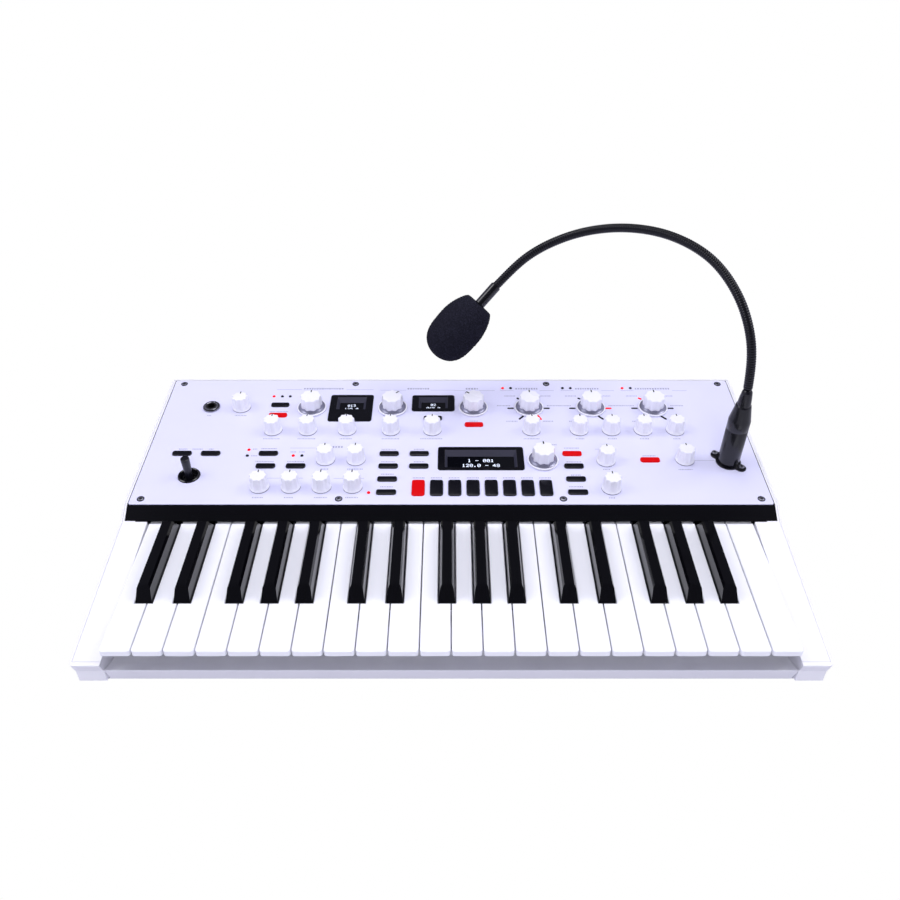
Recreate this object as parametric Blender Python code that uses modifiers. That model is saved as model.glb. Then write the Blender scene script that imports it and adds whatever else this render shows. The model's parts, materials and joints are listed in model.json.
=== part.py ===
"""Analog synthesizer: 37 sprung keys, a panel of knobs and buttons, a joystick and a plug-in microphone.

Lengths are in metres. The origin lies on the table under the middle of the case, +X points to the
player's right, +Y to the back of the instrument and +Z up. Everything on the control panel is placed
in the panel's own plane: x across, v up the slope from the panel's front edge, h square to it.
"""
import math

import bmesh
import bpy
import numpy as np
from mathutils import Matrix, Vector

# gaps: pieces that seat on each other, and points closer than this are one point
GAP = 0.0003
WELD = 0.000001

# keyboard
WHITE_COUNT = 22
KEY_PITCH = 0.0235
KEY_GAP = 0.001
KEY_SETBACK = 0.0031
KEY_PROUD = 0.0128
KEY_LIP_H = 0.0053
KEY_TOP_T = 0.002
KEY_WALL = 0.0016
KEY_NOSE_R = 0.0022
KEY_EDGE = 0.0005
KEY_BODY_SETBACK = 0.008
KEY_BODY_H = 0.011
KEY_REAR_GAP = 0.0006
BLACK_SETBACK = 0.0479
BLACK_W = 0.0128
BLACK_SHOULDER_W = 0.0104
BLACK_TOP_W = 0.0078
BLACK_H = 0.012
BLACK_BEVEL_H = 0.0027
BLACK_FRONT_SLOPE = 0.0078
BLACK_REAR_SLOPE = 0.008
BLACK_REAR_GAP = 0.003
BLACK_CLEARANCE = 0.0008
BLACK_SINK = 0.003
# how far each black key's centre lies to the right of the line between its white neighbours
BLACK_OFFSETS = {"C": -0.0027, "D": 0.0033, "F": -0.0033, "G": 0.0004, "A": 0.0038}
NOTES = "CDEFGAB"
FIRST_OCTAVE = 3

# hinge rail and keybed
PIVOT_BEHIND_RISER = 0.032
PIVOT_DROP = 0.0075
RAIL_R = 0.003
TAIL_WALL = 0.0022
KEY_TRAVEL = math.radians(3.3)
KEYBED_T = 0.003
KEYBED_PILLAR_T = 0.0026
KEYBED_STOP_W = 0.006
KEYBED_STOP_BEHIND_FRONT = 0.045
KEYBED_FRONT = 0.037
KEYBED_REAR = 0.007
KEYBED_RIBS = 12
KEYBED_RIB_T = 0.002
KEYBED_RIB_L = 0.05
KEYBED_RIB_H = 0.028

# case
CHEEK_W = 0.024
KEY_WELL_D = 0.142
RISER_D = 0.013
REAR_RIM = 0.00495
RIM_H = 0.0467
CHEEK_RISE = 0.015
RISER_RISE = 0.0076
FOOT_H = 0.006
FOOT_R = 0.010
FOOT_IN_X = 0.035
FOOT_IN_Y = 0.038
FLOOR_T = 0.0025
SIDE_WALL = 0.002
FRONT_WALL = 0.0035
REAR_WALL = 0.0025
CORNER_R = 0.0035
EDGE_R = 0.0009
FRONT_LEAN = 0.009
FRONT_LEAN_H = 0.026
FRONT_CHAMFER = 0.016
REAR_CHAMFER = 0.012
REAR_CHAMFER_H = 0.014
FRONT_LIP_DROP = 0.009
SCOOP_D = 0.028
SCOOP_H = 0.010
CHEEK_GAP = 0.0007
CHEEK_H = 0.022
CHEEK_WALL = 0.002
FRAME_H = 0.011
LEDGE_W = 0.009

# control panel
PANEL_L = 0.17835
PANEL_TILT = math.radians(3.327)
PANEL_T = 0.002
PANEL_SIDE_GAP = 0.0007
PANEL_CORNER_R = 0.0015
RISER_T = 0.002
RISER_LIP = 0.0012
RISER_FLANGE = 0.006

# controls
SMALL_KNOB_H = 0.0139
SMALL_KNOB_BASE_R = 0.0086
SMALL_KNOB_R = 0.0074
SMALL_KNOB_TOP_R = 0.0069
LARGE_KNOB_H = 0.0149
LARGE_KNOB_FLANGE_R = 0.01425
LARGE_KNOB_DISH_R = 0.0132
LARGE_KNOB_R = 0.0099
LARGE_KNOB_TOP_R = 0.0096
LOBES = 9
LOBE_DEPTH = 0.0007
KNOB_EDGE = 0.0009
SHAFT_R = 0.003
SHAFT_DROP = 0.0055
ENCODER_W = 0.012
BUTTON_SIZE = (0.018, 0.0067)
BUTTON_R = 0.0022
BUTTON_PROUD = 0.0012
BUTTON_EDGE = 0.0008
BUTTON_TRAVEL = 0.0012
BUTTON_FLANGE = 0.0012
BUTTON_STEM_W = 0.004
CATEGORY_SIZE = (0.0118, 0.0203)
CATEGORY_COUNT = 8
DISPLAY_R = 0.002
DISPLAY_PROUD = 0.0004
DISPLAY_DEPTH = 0.0032
DISPLAY_WALL_SLOPE = 0.0025
BOARD_DROP = 0.0076
BOARD_T = 0.0016
BOARD_SIDE = 0.016
BOARD_FRONT = 0.006
BOARD_REAR = 0.013
STANDOFF_R = 0.003

# joystick
JOY_DEPTH = 0.009
JOY_BEZEL_R = 0.00985
JOY_BEZEL_PROUD = 0.0008
JOY_THROAT_R = 0.0062
JOY_THROAT_DROP = 0.0038
JOY_SHOULDER_DROP = 0.0046
JOY_COLLAR_R = 0.0115
JOY_CUP_R = 0.0082
JOY_COLLAR_DROP = 0.012
JOY_RING_R = 0.0076
JOY_RING_BORE_R = 0.0056
JOY_RING_T = 0.004
JOY_PIN_R = 0.001
JOY_LEVER_R = 0.0038
JOY_WAIST_R = 0.0026
JOY_LEVER_H = 0.0205

# headphone socket
JACK_NUT_R = 0.00805
JACK_NUT_H = 0.0023
JACK_SLEEVE_R = 0.0052
JACK_BARREL_R = 0.006
JACK_BORE_R = 0.0035
JACK_DEPTH = 0.024
JACK_BORE_DEPTH = 0.020

# microphone socket, plug, gooseneck and windscreen
XLR_FLANGE_R = 0.01115
XLR_FLANGE_T = 0.001
XLR_BODY_R = 0.0102
XLR_DEPTH = 0.024
PLUG_R = 0.0078
PLUG_DEPTH = 0.016
MIC_BODY_R = 0.0096
MIC_BODY_TOP = 0.0508
MIC_TAPER_TOP = 0.0659
MIC_TAPER_R = 0.0064
BOOT_R = 0.0058
BOOT_TOP_R = 0.00455
BEND_H = 0.078
NECK_R = 0.004
NECK_RIB_PITCH = 0.0042
NECK_RIB_DEPTH = 0.09
# the neck's way from its bend, as offsets: up and back over the panel, then down to the left
NECK_ROUTE = (
    (0.0, 0.0, 0.0), (-0.0033, 0.0085, 0.0437), (-0.0136, 0.0315, 0.0741),
    (-0.0324, 0.0645, 0.0930), (-0.0625, 0.0955, 0.1002), (-0.1002, 0.1145, 0.0988),
    (-0.1401, 0.1240, 0.0885), (-0.1781, 0.1255, 0.0687), (-0.2097, 0.1210, 0.0385))
STEM_AIM = (-0.666, -0.306, -0.681)
STEM_R = 0.005
STEM_L = 0.0245
CAPSULE_L = 0.022
WINDSCREEN_R = 0.0227
WINDSCREEN_L = 0.0615
WINDSCREEN_WAIST = 0.028
WINDSCREEN_SHOULDER_R = 0.013

# rear sockets: place across the back, half width, half height and depth; round when both halves match
REAR_SOCKETS = {
    "output_left": (0.150, 0.0035, 0.0035, 0.014), "output_right": (0.125, 0.0035, 0.0035, 0.014),
    "pedal": (0.098, 0.0035, 0.0035, 0.014), "midi_in": (0.062, 0.0076, 0.0076, 0.008),
    "midi_out": (0.038, 0.0076, 0.0076, 0.008), "usb": (0.008, 0.006, 0.0055, 0.010),
    "power": (-0.024, 0.004, 0.004, 0.010)}
REAR_SOCKET_H = 0.034
REAR_BLOCK_T = 0.016
REAR_BLOCK_MARGIN = 0.006

# places on the panel as shares of half its width and of its length
TOP_ROW = 0.7508
KNOB_ROW = 0.5607
LARGE_KNOBS = {
    "oscillator_knob": (-0.4874, TOP_ROW), "filter_knob": (-0.2043, TOP_ROW), "amp_knob": (0.0784, TOP_ROW),
    "drive_effect_knob": (0.2734, TOP_ROW), "mod_effect_knob": (0.4899, TOP_ROW),
    "delay_effect_knob": (0.7076, TOP_ROW), "program_knob": (0.3007, 0.3174)}
SMALL_KNOBS = [(-0.7338, 0.7558)]
SMALL_KNOBS += [(x, KNOB_ROW) for x in (-0.6050, -0.4867, -0.3532, -0.2043, -0.0633)]
SMALL_KNOBS += [(x, KNOB_ROW) for x in (0.2737, 0.4360, 0.5450, 0.6529, 0.7626)]
SMALL_KNOBS += [(-0.4101, 0.3252), (-0.3108, 0.3252)]
SMALL_KNOBS += [(x, 0.1222) for x in (-0.6050, -0.5065, -0.4090, -0.3108)]
SMALL_KNOBS += [(0.5061, 0.3168), (0.5058, 0.1116), (0.7644, 0.3241)]
BUTTON_ROWS = (0.3695, 0.2736, 0.1772, 0.0824)
OCTAVE_BUTTONS = {"octave_down_button": (-0.8871, 0.3712), "octave_up_button": (-0.7928, 0.3712)}
BUTTONS = [(-0.6007, 0.7760), (-0.6007, 0.6857), (-0.6022, 0.3712), (-0.6022, 0.2747), (-0.5043, 0.2747)]
BUTTONS += [(-0.0626, 0.6594), (0.0788, 0.6055), (0.6511, 0.3207)]
CATEGORY_FIRST = (-0.1036, 0.1127)
CATEGORY_PITCH = 0.05773
COLUMN_GAP = 0.0984
RIGHT_COLUMN = CATEGORY_FIRST[0] + (CATEGORY_COUNT - 1) * CATEGORY_PITCH + COLUMN_GAP
BUTTONS += [(x, v) for x in (-0.2040, RIGHT_COLUMN) for v in BUTTON_ROWS]
BUTTONS += [(-0.1045, v) for v in BUTTON_ROWS[:2]]
# each display: centre, bezel size, window size and how far the window sits above the middle
DISPLAYS = {
    "oscillator_display": ((-0.3504, 0.7497), (0.0418, 0.0412), (0.0287, 0.0199), 0.0073),
    "filter_display": ((-0.0622, 0.7920), (0.0414, 0.0251), (0.0286, 0.0184), 0.0006),
    "main_display": ((0.0978, 0.3328), (0.0780, 0.0315), (0.0658, 0.0244), -0.0003)}
JACK_AT = (-0.8396, 0.7553)
JOYSTICK_AT = (-0.8399, 0.2047)
XLR_AT = (0.9040, 0.3078)
STANDOFFS = [(x, v) for x in (-0.92, -0.345, 0.345, 0.80) for v in (0.06, 0.90)]

# sizes that follow from those above
KEYS_W = WHITE_COUNT * KEY_PITCH
CASE_W = KEYS_W + 2 * CHEEK_W
HALF_W = CASE_W / 2
PANEL_RUN = PANEL_L * math.cos(PANEL_TILT)
CASE_D = KEY_WELL_D + RISER_D + PANEL_RUN + REAR_RIM
FRONT_Y = -CASE_D / 2
BACK_Y = CASE_D / 2
RISER_Y = FRONT_Y + KEY_WELL_D
RISER_Z = RIM_H + CHEEK_RISE
PANEL_Y = RISER_Y + RISER_D
PANEL_Z = RISER_Z + RISER_RISE
PANEL_BACK_Y = PANEL_Y + PANEL_RUN
PANEL_BACK_Z = PANEL_Z + PANEL_L * math.sin(PANEL_TILT)
REAR_Z = PANEL_BACK_Z - 0.001
FLOOR_Z = FOOT_H + FLOOR_T
RIM_IN = HALF_W - SIDE_WALL
RECESS_X = RIM_IN - 0.0018
PANEL_X = RECESS_X - PANEL_SIDE_GAP
LEDGE_X = RECESS_X - LEDGE_W
CHEEK_X = KEYS_W / 2 + CHEEK_GAP
KEY_TOP_Z = RIM_H + KEY_PROUD
KEY_FRONT_Y = FRONT_Y + KEY_SETBACK
KEY_REAR_Y = RISER_Y - KEY_REAR_GAP
BLACK_FRONT_Y = KEY_FRONT_Y + BLACK_SETBACK
BLACK_REAR_Y = RISER_Y - BLACK_REAR_GAP
PIVOT_Y = RISER_Y + PIVOT_BEHIND_RISER
PIVOT_Z = KEY_TOP_Z - PIVOT_DROP
LIP_Z = RIM_H - FRONT_LIP_DROP
BOARD_Z = -BOARD_DROP - BOARD_T

WHITE = (0.86, 0.86, 0.89)
PEARL = (0.72, 0.72, 0.86)
BLACK = (0.012, 0.012, 0.016)
DARK = (0.03, 0.03, 0.035)


def clear_scene():
    for obj in list(bpy.data.objects):
        bpy.data.objects.remove(obj, do_unlink=True)


def new_collection(name):
    collection = bpy.data.collections.new(name)
    bpy.context.scene.collection.children.link(collection)
    return collection


def finish(name, colour, roughness, metallic=0.0):
    material = bpy.data.materials.new(name)
    material.use_nodes = True
    shader = material.node_tree.nodes["Principled BSDF"]
    shader.inputs["Base Color"].default_value = (*colour, 1.0)
    shader.inputs["Roughness"].default_value = roughness
    shader.inputs["Metallic"].default_value = metallic
    return material


def place(name, mesh, collection, material=None, parent=None, location=(0, 0, 0), rotation=(0, 0, 0)):
    """Put a mesh into the model as one named object."""
    obj = bpy.data.objects.new(name, mesh)
    collection.objects.link(obj)
    obj.parent = parent
    obj.location = location
    obj.rotation_euler = rotation
    if material and not mesh.materials:
        mesh.materials.append(material)
    return obj


def closed(mesh):
    """Weld a mesh's doubled points and turn its faces outwards."""
    edit = bmesh.new()
    edit.from_mesh(mesh)
    bmesh.ops.remove_doubles(edit, verts=edit.verts, dist=WELD)
    bmesh.ops.recalc_face_normals(edit, faces=edit.faces)
    edit.to_mesh(mesh)
    edit.free()
    return mesh


def baked(name, source):
    """The shape of a curve or of an object with modifiers as a plain mesh; the source is removed."""
    bpy.context.scene.collection.objects.link(source)
    bpy.context.view_layer.update()
    graph = bpy.context.evaluated_depsgraph_get()
    mesh = bpy.data.meshes.new_from_object(source.evaluated_get(graph))
    mesh.name = name
    bpy.data.objects.remove(source)
    return closed(mesh)


def moved(mesh, offset):
    mesh.transform(Matrix.Translation(offset))
    return mesh


def joined(name, meshes):
    """Several meshes as one, still separate shells."""
    edit = bmesh.new()
    for mesh in meshes:
        edit.from_mesh(mesh)
    result = bpy.data.meshes.new(name)
    edit.to_mesh(result)
    edit.free()
    return result


def arc(centre_x, centre_y, radius, start, end, steps):
    """Points along an arc, angles in degrees, anticlockwise when end is past start."""
    angles = np.radians(np.linspace(start, end, steps + 1))
    return [(centre_x + radius * math.cos(a), centre_y + radius * math.sin(a)) for a in angles]


def circle(centre_x, centre_y, radius, sides):
    return arc(centre_x, centre_y, radius, 0, 360, sides)[:-1]


def rounded_rect(centre_x, centre_y, width, height, radius, steps=1):
    dx = width / 2 - radius
    dy = height / 2 - radius
    points = []
    for turn, (sx, sy) in enumerate(((1, 1), (-1, 1), (-1, -1), (1, -1))):
        points += arc(centre_x + sx * dx, centre_y + sy * dy, radius, 90 * turn, 90 * turn + 90, steps)
    return points


def flat_solid(name, outlines, low, high):
    """A flat outline, the further outlines being its holes, from height low to height high."""
    curve = bpy.data.curves.new(name, "CURVE")
    curve.dimensions = "2D"
    curve.fill_mode = "BOTH"
    curve.extrude = (high - low) / 2
    for outline in outlines:
        spline = curve.splines.new("POLY")
        spline.points.add(len(outline) - 1)
        for point, (x, y) in zip(spline.points, outline):
            point.co = (x, y, 0, 1)
        spline.use_cyclic_u = True
    mesh = baked(name, bpy.data.objects.new(name, curve))
    return moved(mesh, (0, 0, (low + high) / 2))


def side_solid(name, outline, x_low, x_high):
    """An outline drawn in the side view, as (y, z) points, carried across from x_low to x_high."""
    mesh = flat_solid(name, [outline], x_low, x_high)
    mesh.transform(Matrix(((0, 0, 1, 0), (1, 0, 0, 0), (0, 1, 0, 0), (0, 0, 0, 1))))
    return closed(mesh)


def block(name, low, high):
    """A box between two corners."""
    edit = bmesh.new()
    bmesh.ops.create_cube(edit, size=1.0)
    size = Vector(high) - Vector(low)
    middle = (Vector(high) + Vector(low)) / 2
    bmesh.ops.scale(edit, vec=size, verts=edit.verts)
    bmesh.ops.translate(edit, vec=middle, verts=edit.verts)
    mesh = bpy.data.meshes.new(name)
    edit.to_mesh(mesh)
    edit.free()
    return mesh


def rod(name, radius, start, end, sides):
    """A plain round bar from one point to another."""
    start = Vector(start)
    end = Vector(end)
    edit = bmesh.new()
    bmesh.ops.create_cone(
        edit, cap_ends=True, segments=sides, radius1=radius, radius2=radius, depth=(end - start).length)
    mesh = bpy.data.meshes.new(name)
    edit.to_mesh(mesh)
    edit.free()
    turn = (end - start).to_track_quat("Z", "Y").to_matrix().to_4x4()
    mesh.transform(Matrix.Translation((start + end) / 2) @ turn)
    return mesh


def turned(name, profile, sides):
    """A profile of (radius, height) points, from the top down its outer side, spun about Z."""
    mesh = bpy.data.meshes.new(name)
    points = [(radius, 0, height) for radius, height in profile]
    on_axis = profile[0][0] == 0 and profile[-1][0] == 0
    edges = [(i, i + 1) for i in range(len(points) - 1)]
    if not on_axis:
        edges.append((len(points) - 1, 0))
    mesh.from_pydata(points, edges, [])
    source = bpy.data.objects.new(name, mesh)
    screw = source.modifiers.new("spin", "SCREW")
    screw.steps = sides
    screw.render_steps = sides
    screw.use_merge_vertices = True
    screw.merge_threshold = WELD
    result = baked(name, source)
    result.shade_smooth()
    result.set_sharp_from_angle(angle=math.radians(35))
    return result


def lofted(name, rings):
    """A closed solid through rings of equally many points, with a flat face on each end."""
    edit = bmesh.new()
    rows = [[edit.verts.new(point) for point in ring] for ring in rings]
    for low, high in zip(rows, rows[1:]):
        for i in range(len(low)):
            j = (i + 1) % len(low)
            edit.faces.new((low[i], low[j], high[j], high[i]))
    edit.faces.new(list(reversed(rows[0])))
    edit.faces.new(rows[-1])
    bmesh.ops.recalc_face_normals(edit, faces=edit.faces)
    mesh = bpy.data.meshes.new(name)
    edit.to_mesh(mesh)
    edit.free()
    return mesh


def lobed_ring(radius, depth, height, per_lobe):
    """A ring whose radius swings by depth once per lobe; depth 0 gives a circle."""
    count = LOBES * per_lobe
    ring = []
    for i in range(count):
        angle = 2 * math.pi * i / count
        r = radius - depth * (0.5 - 0.5 * math.cos(LOBES * angle))
        ring.append((r * math.sin(angle), r * math.cos(angle), height))
    return ring


def shape(target, tool_mesh, name, operation, cutters):
    """Join a shape to a piece or cut it away, as a live Boolean with its tool kept aside."""
    tool = place(name, tool_mesh, cutters, parent=target)
    tool.hide_render = True
    tool.display_type = "WIRE"
    boolean = target.modifiers.new(name, "BOOLEAN")
    boolean.operation = operation
    boolean.object = tool
    boolean.solver = "EXACT"


def spot(share):
    """A place on the panel in metres from its front edge's middle."""
    return share[0] * PANEL_X, share[1] * PANEL_L


def panel_point(x, v, h):
    """The world point at x across, v up the slope and h above the panel."""
    c = math.cos(PANEL_TILT)
    s = math.sin(PANEL_TILT)
    return Vector((x, PANEL_Y + v * c - h * s, PANEL_Z + v * s + h * c))


def top_line():
    """The case's upper edge seen from the side, front to back, as (y, z)."""
    return [(FRONT_Y, RIM_H), (RISER_Y, RISER_Z), (PANEL_Y, PANEL_Z), (PANEL_BACK_Y, PANEL_BACK_Z)]


def case_side():
    """The whole side outline: leaning front, chamfered base, upright back and the upper edge."""
    knee = FRONT_Y + FRONT_LEAN
    return top_line()[::-1] + [
        (knee, RIM_H - FRONT_LEAN_H),
        (knee + FRONT_CHAMFER, FOOT_H),
        (BACK_Y - REAR_CHAMFER, FOOT_H),
        (BACK_Y, FOOT_H + REAR_CHAMFER_H),
        (BACK_Y, REAR_Z)]


def outer_shell_mesh():
    """The case's outside as a solid, upright corners rounded by CORNER_R."""
    mesh = side_solid("case_outside", case_side(), -HALF_W, HALF_W)
    edit = bmesh.new()
    edit.from_mesh(mesh)
    bmesh.ops.dissolve_limit(edit, angle_limit=0.001, verts=edit.verts, edges=edit.edges)
    corners = []
    for edge in edit.edges:
        a, b = (vert.co for vert in edge.verts)
        on_side = abs(abs(a.x) - HALF_W) < WELD and abs(a.x - b.x) < WELD
        upright = abs(a.z - b.z) > abs(a.y - b.y)
        at_end = min(abs(a.y - FRONT_Y), abs(b.y - FRONT_Y)) < 0.01 or min(a.y, b.y) > BACK_Y - WELD
        if on_side and upright and at_end:
            corners.append(edge)
    bmesh.ops.bevel(edit, geom=corners, offset=CORNER_R, segments=3, profile=0.5, affect="EDGES")
    edit.to_mesh(mesh)
    edit.free()
    return mesh


def scoop_side():
    """Side outline of the air over the front lip and in the key well, whose floor dips behind the lip."""
    start = FRONT_Y + FRONT_WALL
    points = [(FRONT_Y - 0.01, 0.2), (FRONT_Y - 0.01, LIP_Z)]
    for t in np.linspace(0, 1, 6):
        y = start + SCOOP_D * t
        points.append((y, LIP_Z - SCOOP_H * math.sin(t * math.pi / 2)))
    points.append((start + SCOOP_D, 0.2))
    return points


def build_bottom_case(parts, cutters, material):
    """The moulded tray: floor, walls, scooped front lip, feet and the sockets in its back wall."""
    case = place("bottom_case", outer_shell_mesh(), parts, material)
    soften = case.modifiers.new("edge_rounding", "BEVEL")
    soften.width = EDGE_R
    soften.segments = 2
    soften.limit_method = "ANGLE"
    soften.angle_limit = math.radians(50)
    scoop_end = FRONT_Y + FRONT_WALL + SCOOP_D
    hollow = [
        (scoop_end, 0.2), (scoop_end, FLOOR_Z), (BACK_Y - REAR_CHAMFER, FLOOR_Z),
        (BACK_Y - REAR_WALL, FOOT_H + REAR_CHAMFER_H), (BACK_Y - REAR_WALL, 0.2)]
    shape(case, side_solid("case_hollow", hollow, -RIM_IN, RIM_IN), "case_hollow", "DIFFERENCE", cutters)
    knee = FRONT_Y + FRONT_LEAN + FRONT_WALL
    cheek_low = RIM_H - CHEEK_H - 0.004
    cheek_air = [
        (FRONT_Y + FRONT_WALL, 0.2), (FRONT_Y + FRONT_WALL, RIM_H - CHEEK_H),
        (knee, cheek_low), (scoop_end + 0.001, cheek_low), (scoop_end + 0.001, 0.2)]
    for side, low, high in (("left", -RIM_IN, -CHEEK_X + GAP), ("right", CHEEK_X - GAP, RIM_IN)):
        shape(case, side_solid("cheek_air", cheek_air, low, high), "cheek_air_" + side, "DIFFERENCE", cutters)
    scoop = side_solid("scoop", scoop_side(), -CHEEK_X, CHEEK_X)
    shape(case, scoop, "scoop", "DIFFERENCE", cutters)
    shape(case, rear_block(), "rear_block", "UNION", cutters)
    shape(case, rear_bores(), "rear_bores", "DIFFERENCE", cutters)
    shape(case, feet(), "feet", "UNION", cutters)
    return case


def rear_block():
    """The bar inside the back wall that carries the sockets' housings."""
    xs = [socket[0] for socket in REAR_SOCKETS.values()]
    reach = max(socket[2] for socket in REAR_SOCKETS.values()) + REAR_BLOCK_MARGIN
    edge = 2 * REAR_BLOCK_MARGIN
    low = (min(xs) - edge, BACK_Y - REAR_WALL - REAR_BLOCK_T, REAR_SOCKET_H - reach)
    high = (max(xs) + edge, BACK_Y - REAR_WALL / 2, REAR_SOCKET_H + reach)
    return block("rear_block", low, high)


def rear_bores():
    """The mouths of the rear sockets, each cut in from behind by its own depth."""
    bores = []
    for name, (x, half_w, half_h, depth) in REAR_SOCKETS.items():
        if half_w == half_h:
            start = (x, BACK_Y - depth, REAR_SOCKET_H)
            bores.append(rod(name, half_w, start, (x, BACK_Y + 0.01, REAR_SOCKET_H), 16))
        else:
            low = (x - half_w, BACK_Y - depth, REAR_SOCKET_H - half_h)
            bores.append(block(name, low, (x + half_w, BACK_Y + 0.01, REAR_SOCKET_H + half_h)))
    return joined("rear_bores", bores)


def feet():
    """Four round rubber feet under the corners."""
    pads = []
    for sx in (-1, 1):
        for sy in (-1, 1):
            x = sx * (HALF_W - FOOT_IN_X)
            y = sy * (CASE_D / 2 - FOOT_IN_Y)
            pads.append(rod("foot", FOOT_R, (x, y, 0), (x, y, FOOT_H + FLOOR_T / 2), 16))
    return joined("feet", pads)


def build_top_case(parts, cutters, material):
    """The white upper frame: a hollow cheek beside each end of the keys, and a ledge for the panel."""
    front = FRONT_Y + FRONT_WALL + GAP
    back = BACK_Y - REAR_WALL - GAP
    rise = CHEEK_RISE / KEY_WELL_D
    front_z = RIM_H + rise * (front - FRONT_Y)
    outer = [
        (front, front_z), (front, RIM_H - CHEEK_H + GAP), (RISER_Y, RIM_H - CHEEK_H + GAP),
        (PANEL_Y, PANEL_Z - FRAME_H), (back, PANEL_BACK_Z - FRAME_H), (back, REAR_Z),
        (PANEL_BACK_Y, PANEL_BACK_Z), (PANEL_Y, PANEL_Z), (RISER_Y, RISER_Z)]
    half = RIM_IN - GAP
    frame = place("top_case", side_solid("top_case", outer, -half, half), parts, material)
    well = block("key_well", (-CHEEK_X, FRONT_Y - 0.01, -0.01), (CHEEK_X, RISER_Y, 0.2))
    shape(frame, well, "key_well", "DIFFERENCE", cutters)
    seat = PANEL_T + GAP
    recess = [
        (RISER_Y, 0.2), (RISER_Y, RISER_Z - seat), (PANEL_Y, PANEL_Z - seat),
        (PANEL_BACK_Y + GAP, PANEL_BACK_Z - seat), (PANEL_BACK_Y + GAP, 0.2)]
    shape(frame, side_solid("recess", recess, -RECESS_X, RECESS_X), "recess", "DIFFERENCE", cutters)
    inside = block("inside", (-LEDGE_X, RISER_Y - 0.001, -0.01), (LEDGE_X, PANEL_BACK_Y - LEDGE_W, 0.2))
    shape(frame, inside, "inside", "DIFFERENCE", cutters)
    cheek_roof = [
        (front + CHEEK_WALL, -0.01), (RISER_Y - CHEEK_WALL, -0.01),
        (RISER_Y - CHEEK_WALL, RISER_Z - CHEEK_WALL - rise * CHEEK_WALL),
        (front + CHEEK_WALL, front_z - CHEEK_WALL)]
    inner = CHEEK_X + CHEEK_WALL
    outer_side = half - CHEEK_WALL
    for side, low, high in (("left", -outer_side, -inner), ("right", inner, outer_side)):
        hollow = side_solid("cheek_hollow", cheek_roof, low, high)
        shape(frame, hollow, "cheek_hollow_" + side, "DIFFERENCE", cutters)
    return frame


def build_riser(parts, cutters, material):
    """The glossy black strip that climbs from the keys to the panel and tucks under its front edge."""
    slope = math.tan(PANEL_TILT)
    back = PANEL_Y - GAP
    seat_z = PANEL_Z - PANEL_T - 2 * GAP
    outline = [
        (RISER_Y, RISER_Z), (RISER_Y + 0.0004, RISER_Z - RISER_LIP), (RISER_Y + RISER_T, RISER_Z - RISER_LIP),
        (PANEL_Y + 0.0008, seat_z - RISER_T), (PANEL_Y + RISER_FLANGE, seat_z - RISER_T + slope * RISER_FLANGE),
        (PANEL_Y + RISER_FLANGE, seat_z + slope * RISER_FLANGE), (back, seat_z),
        (back, PANEL_Z - 0.0004)]
    reach = LEDGE_X - GAP
    strip = side_solid("key_riser", outline, -reach, reach)
    riser = place("key_riser", strip, parts, material)
    front_skin = [
        (RISER_Y, RISER_Z), (RISER_Y + 0.0004, RISER_Z - RISER_LIP), (back, PANEL_Z - 0.0004 - RISER_LIP),
        (back, PANEL_Z - 0.0004)]
    full = RECESS_X - GAP
    shape(riser, side_solid("front_skin", front_skin, -full, full), "front_skin", "UNION", cutters)
    return riser


def panel_holes():
    """Every opening in the panel plate, as outlines in its plane."""
    holes = [circle(*spot(at), SHAFT_R + GAP, 10) for at in LARGE_KNOBS.values()]
    for at in list(OCTAVE_BUTTONS.values()) + BUTTONS:
        holes.append(rounded_rect(*spot(at), *BUTTON_SIZE, BUTTON_R))
    for at in category_places():
        holes.append(rounded_rect(*at, *CATEGORY_SIZE, BUTTON_R))
    for at, (width, height), _, _ in DISPLAYS.values():
        holes.append(rounded_rect(*spot(at), width + 2 * GAP, height + 2 * GAP, DISPLAY_R))
    holes.append(circle(*spot(JACK_AT), JACK_SLEEVE_R + GAP, 16))
    holes.append(circle(*spot(JOYSTICK_AT), JOY_BEZEL_R + GAP, 20))
    holes.append(circle(*spot(XLR_AT), XLR_BODY_R + GAP, 20))
    return holes


def category_places():
    """The row of tall buttons under the main display."""
    first_x, v = spot(CATEGORY_FIRST)
    pitch = CATEGORY_PITCH * PANEL_X
    return [(first_x + pitch * i, v) for i in range(CATEGORY_COUNT)]


def small_knob(x, v):
    """A fluted cap on a flared skirt, its foot a little inside the plate."""
    rings = [
        lobed_ring(SMALL_KNOB_BASE_R, 0, -PANEL_T / 4, 2),
        lobed_ring(SMALL_KNOB_BASE_R, 0, 0.0007, 2),
        lobed_ring(SMALL_KNOB_R, LOBE_DEPTH, 0.0021, 2),
        lobed_ring(SMALL_KNOB_TOP_R, LOBE_DEPTH, SMALL_KNOB_H, 2)]
    return moved(lofted("small_knob", rings), (x, v, 0))


def build_top_panel(parts, cutters, plane, material):
    """The pressed metal plate with the small knobs standing on it."""
    edge = rounded_rect(0, PANEL_L / 2, 2 * PANEL_X, PANEL_L, PANEL_CORNER_R)
    panel = place("top_panel", flat_solid("top_panel", [edge], -PANEL_T, 0), parts, material, plane)
    holes = [flat_solid("hole", [outline], -2 * PANEL_T, PANEL_T) for outline in panel_holes()]
    shape(panel, joined("panel_holes", holes), "panel_holes", "DIFFERENCE", cutters)
    knobs = joined("small_knobs", [small_knob(*spot(at)) for at in SMALL_KNOBS])
    shape(panel, knobs, "small_knobs", "UNION", cutters)
    return panel


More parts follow.
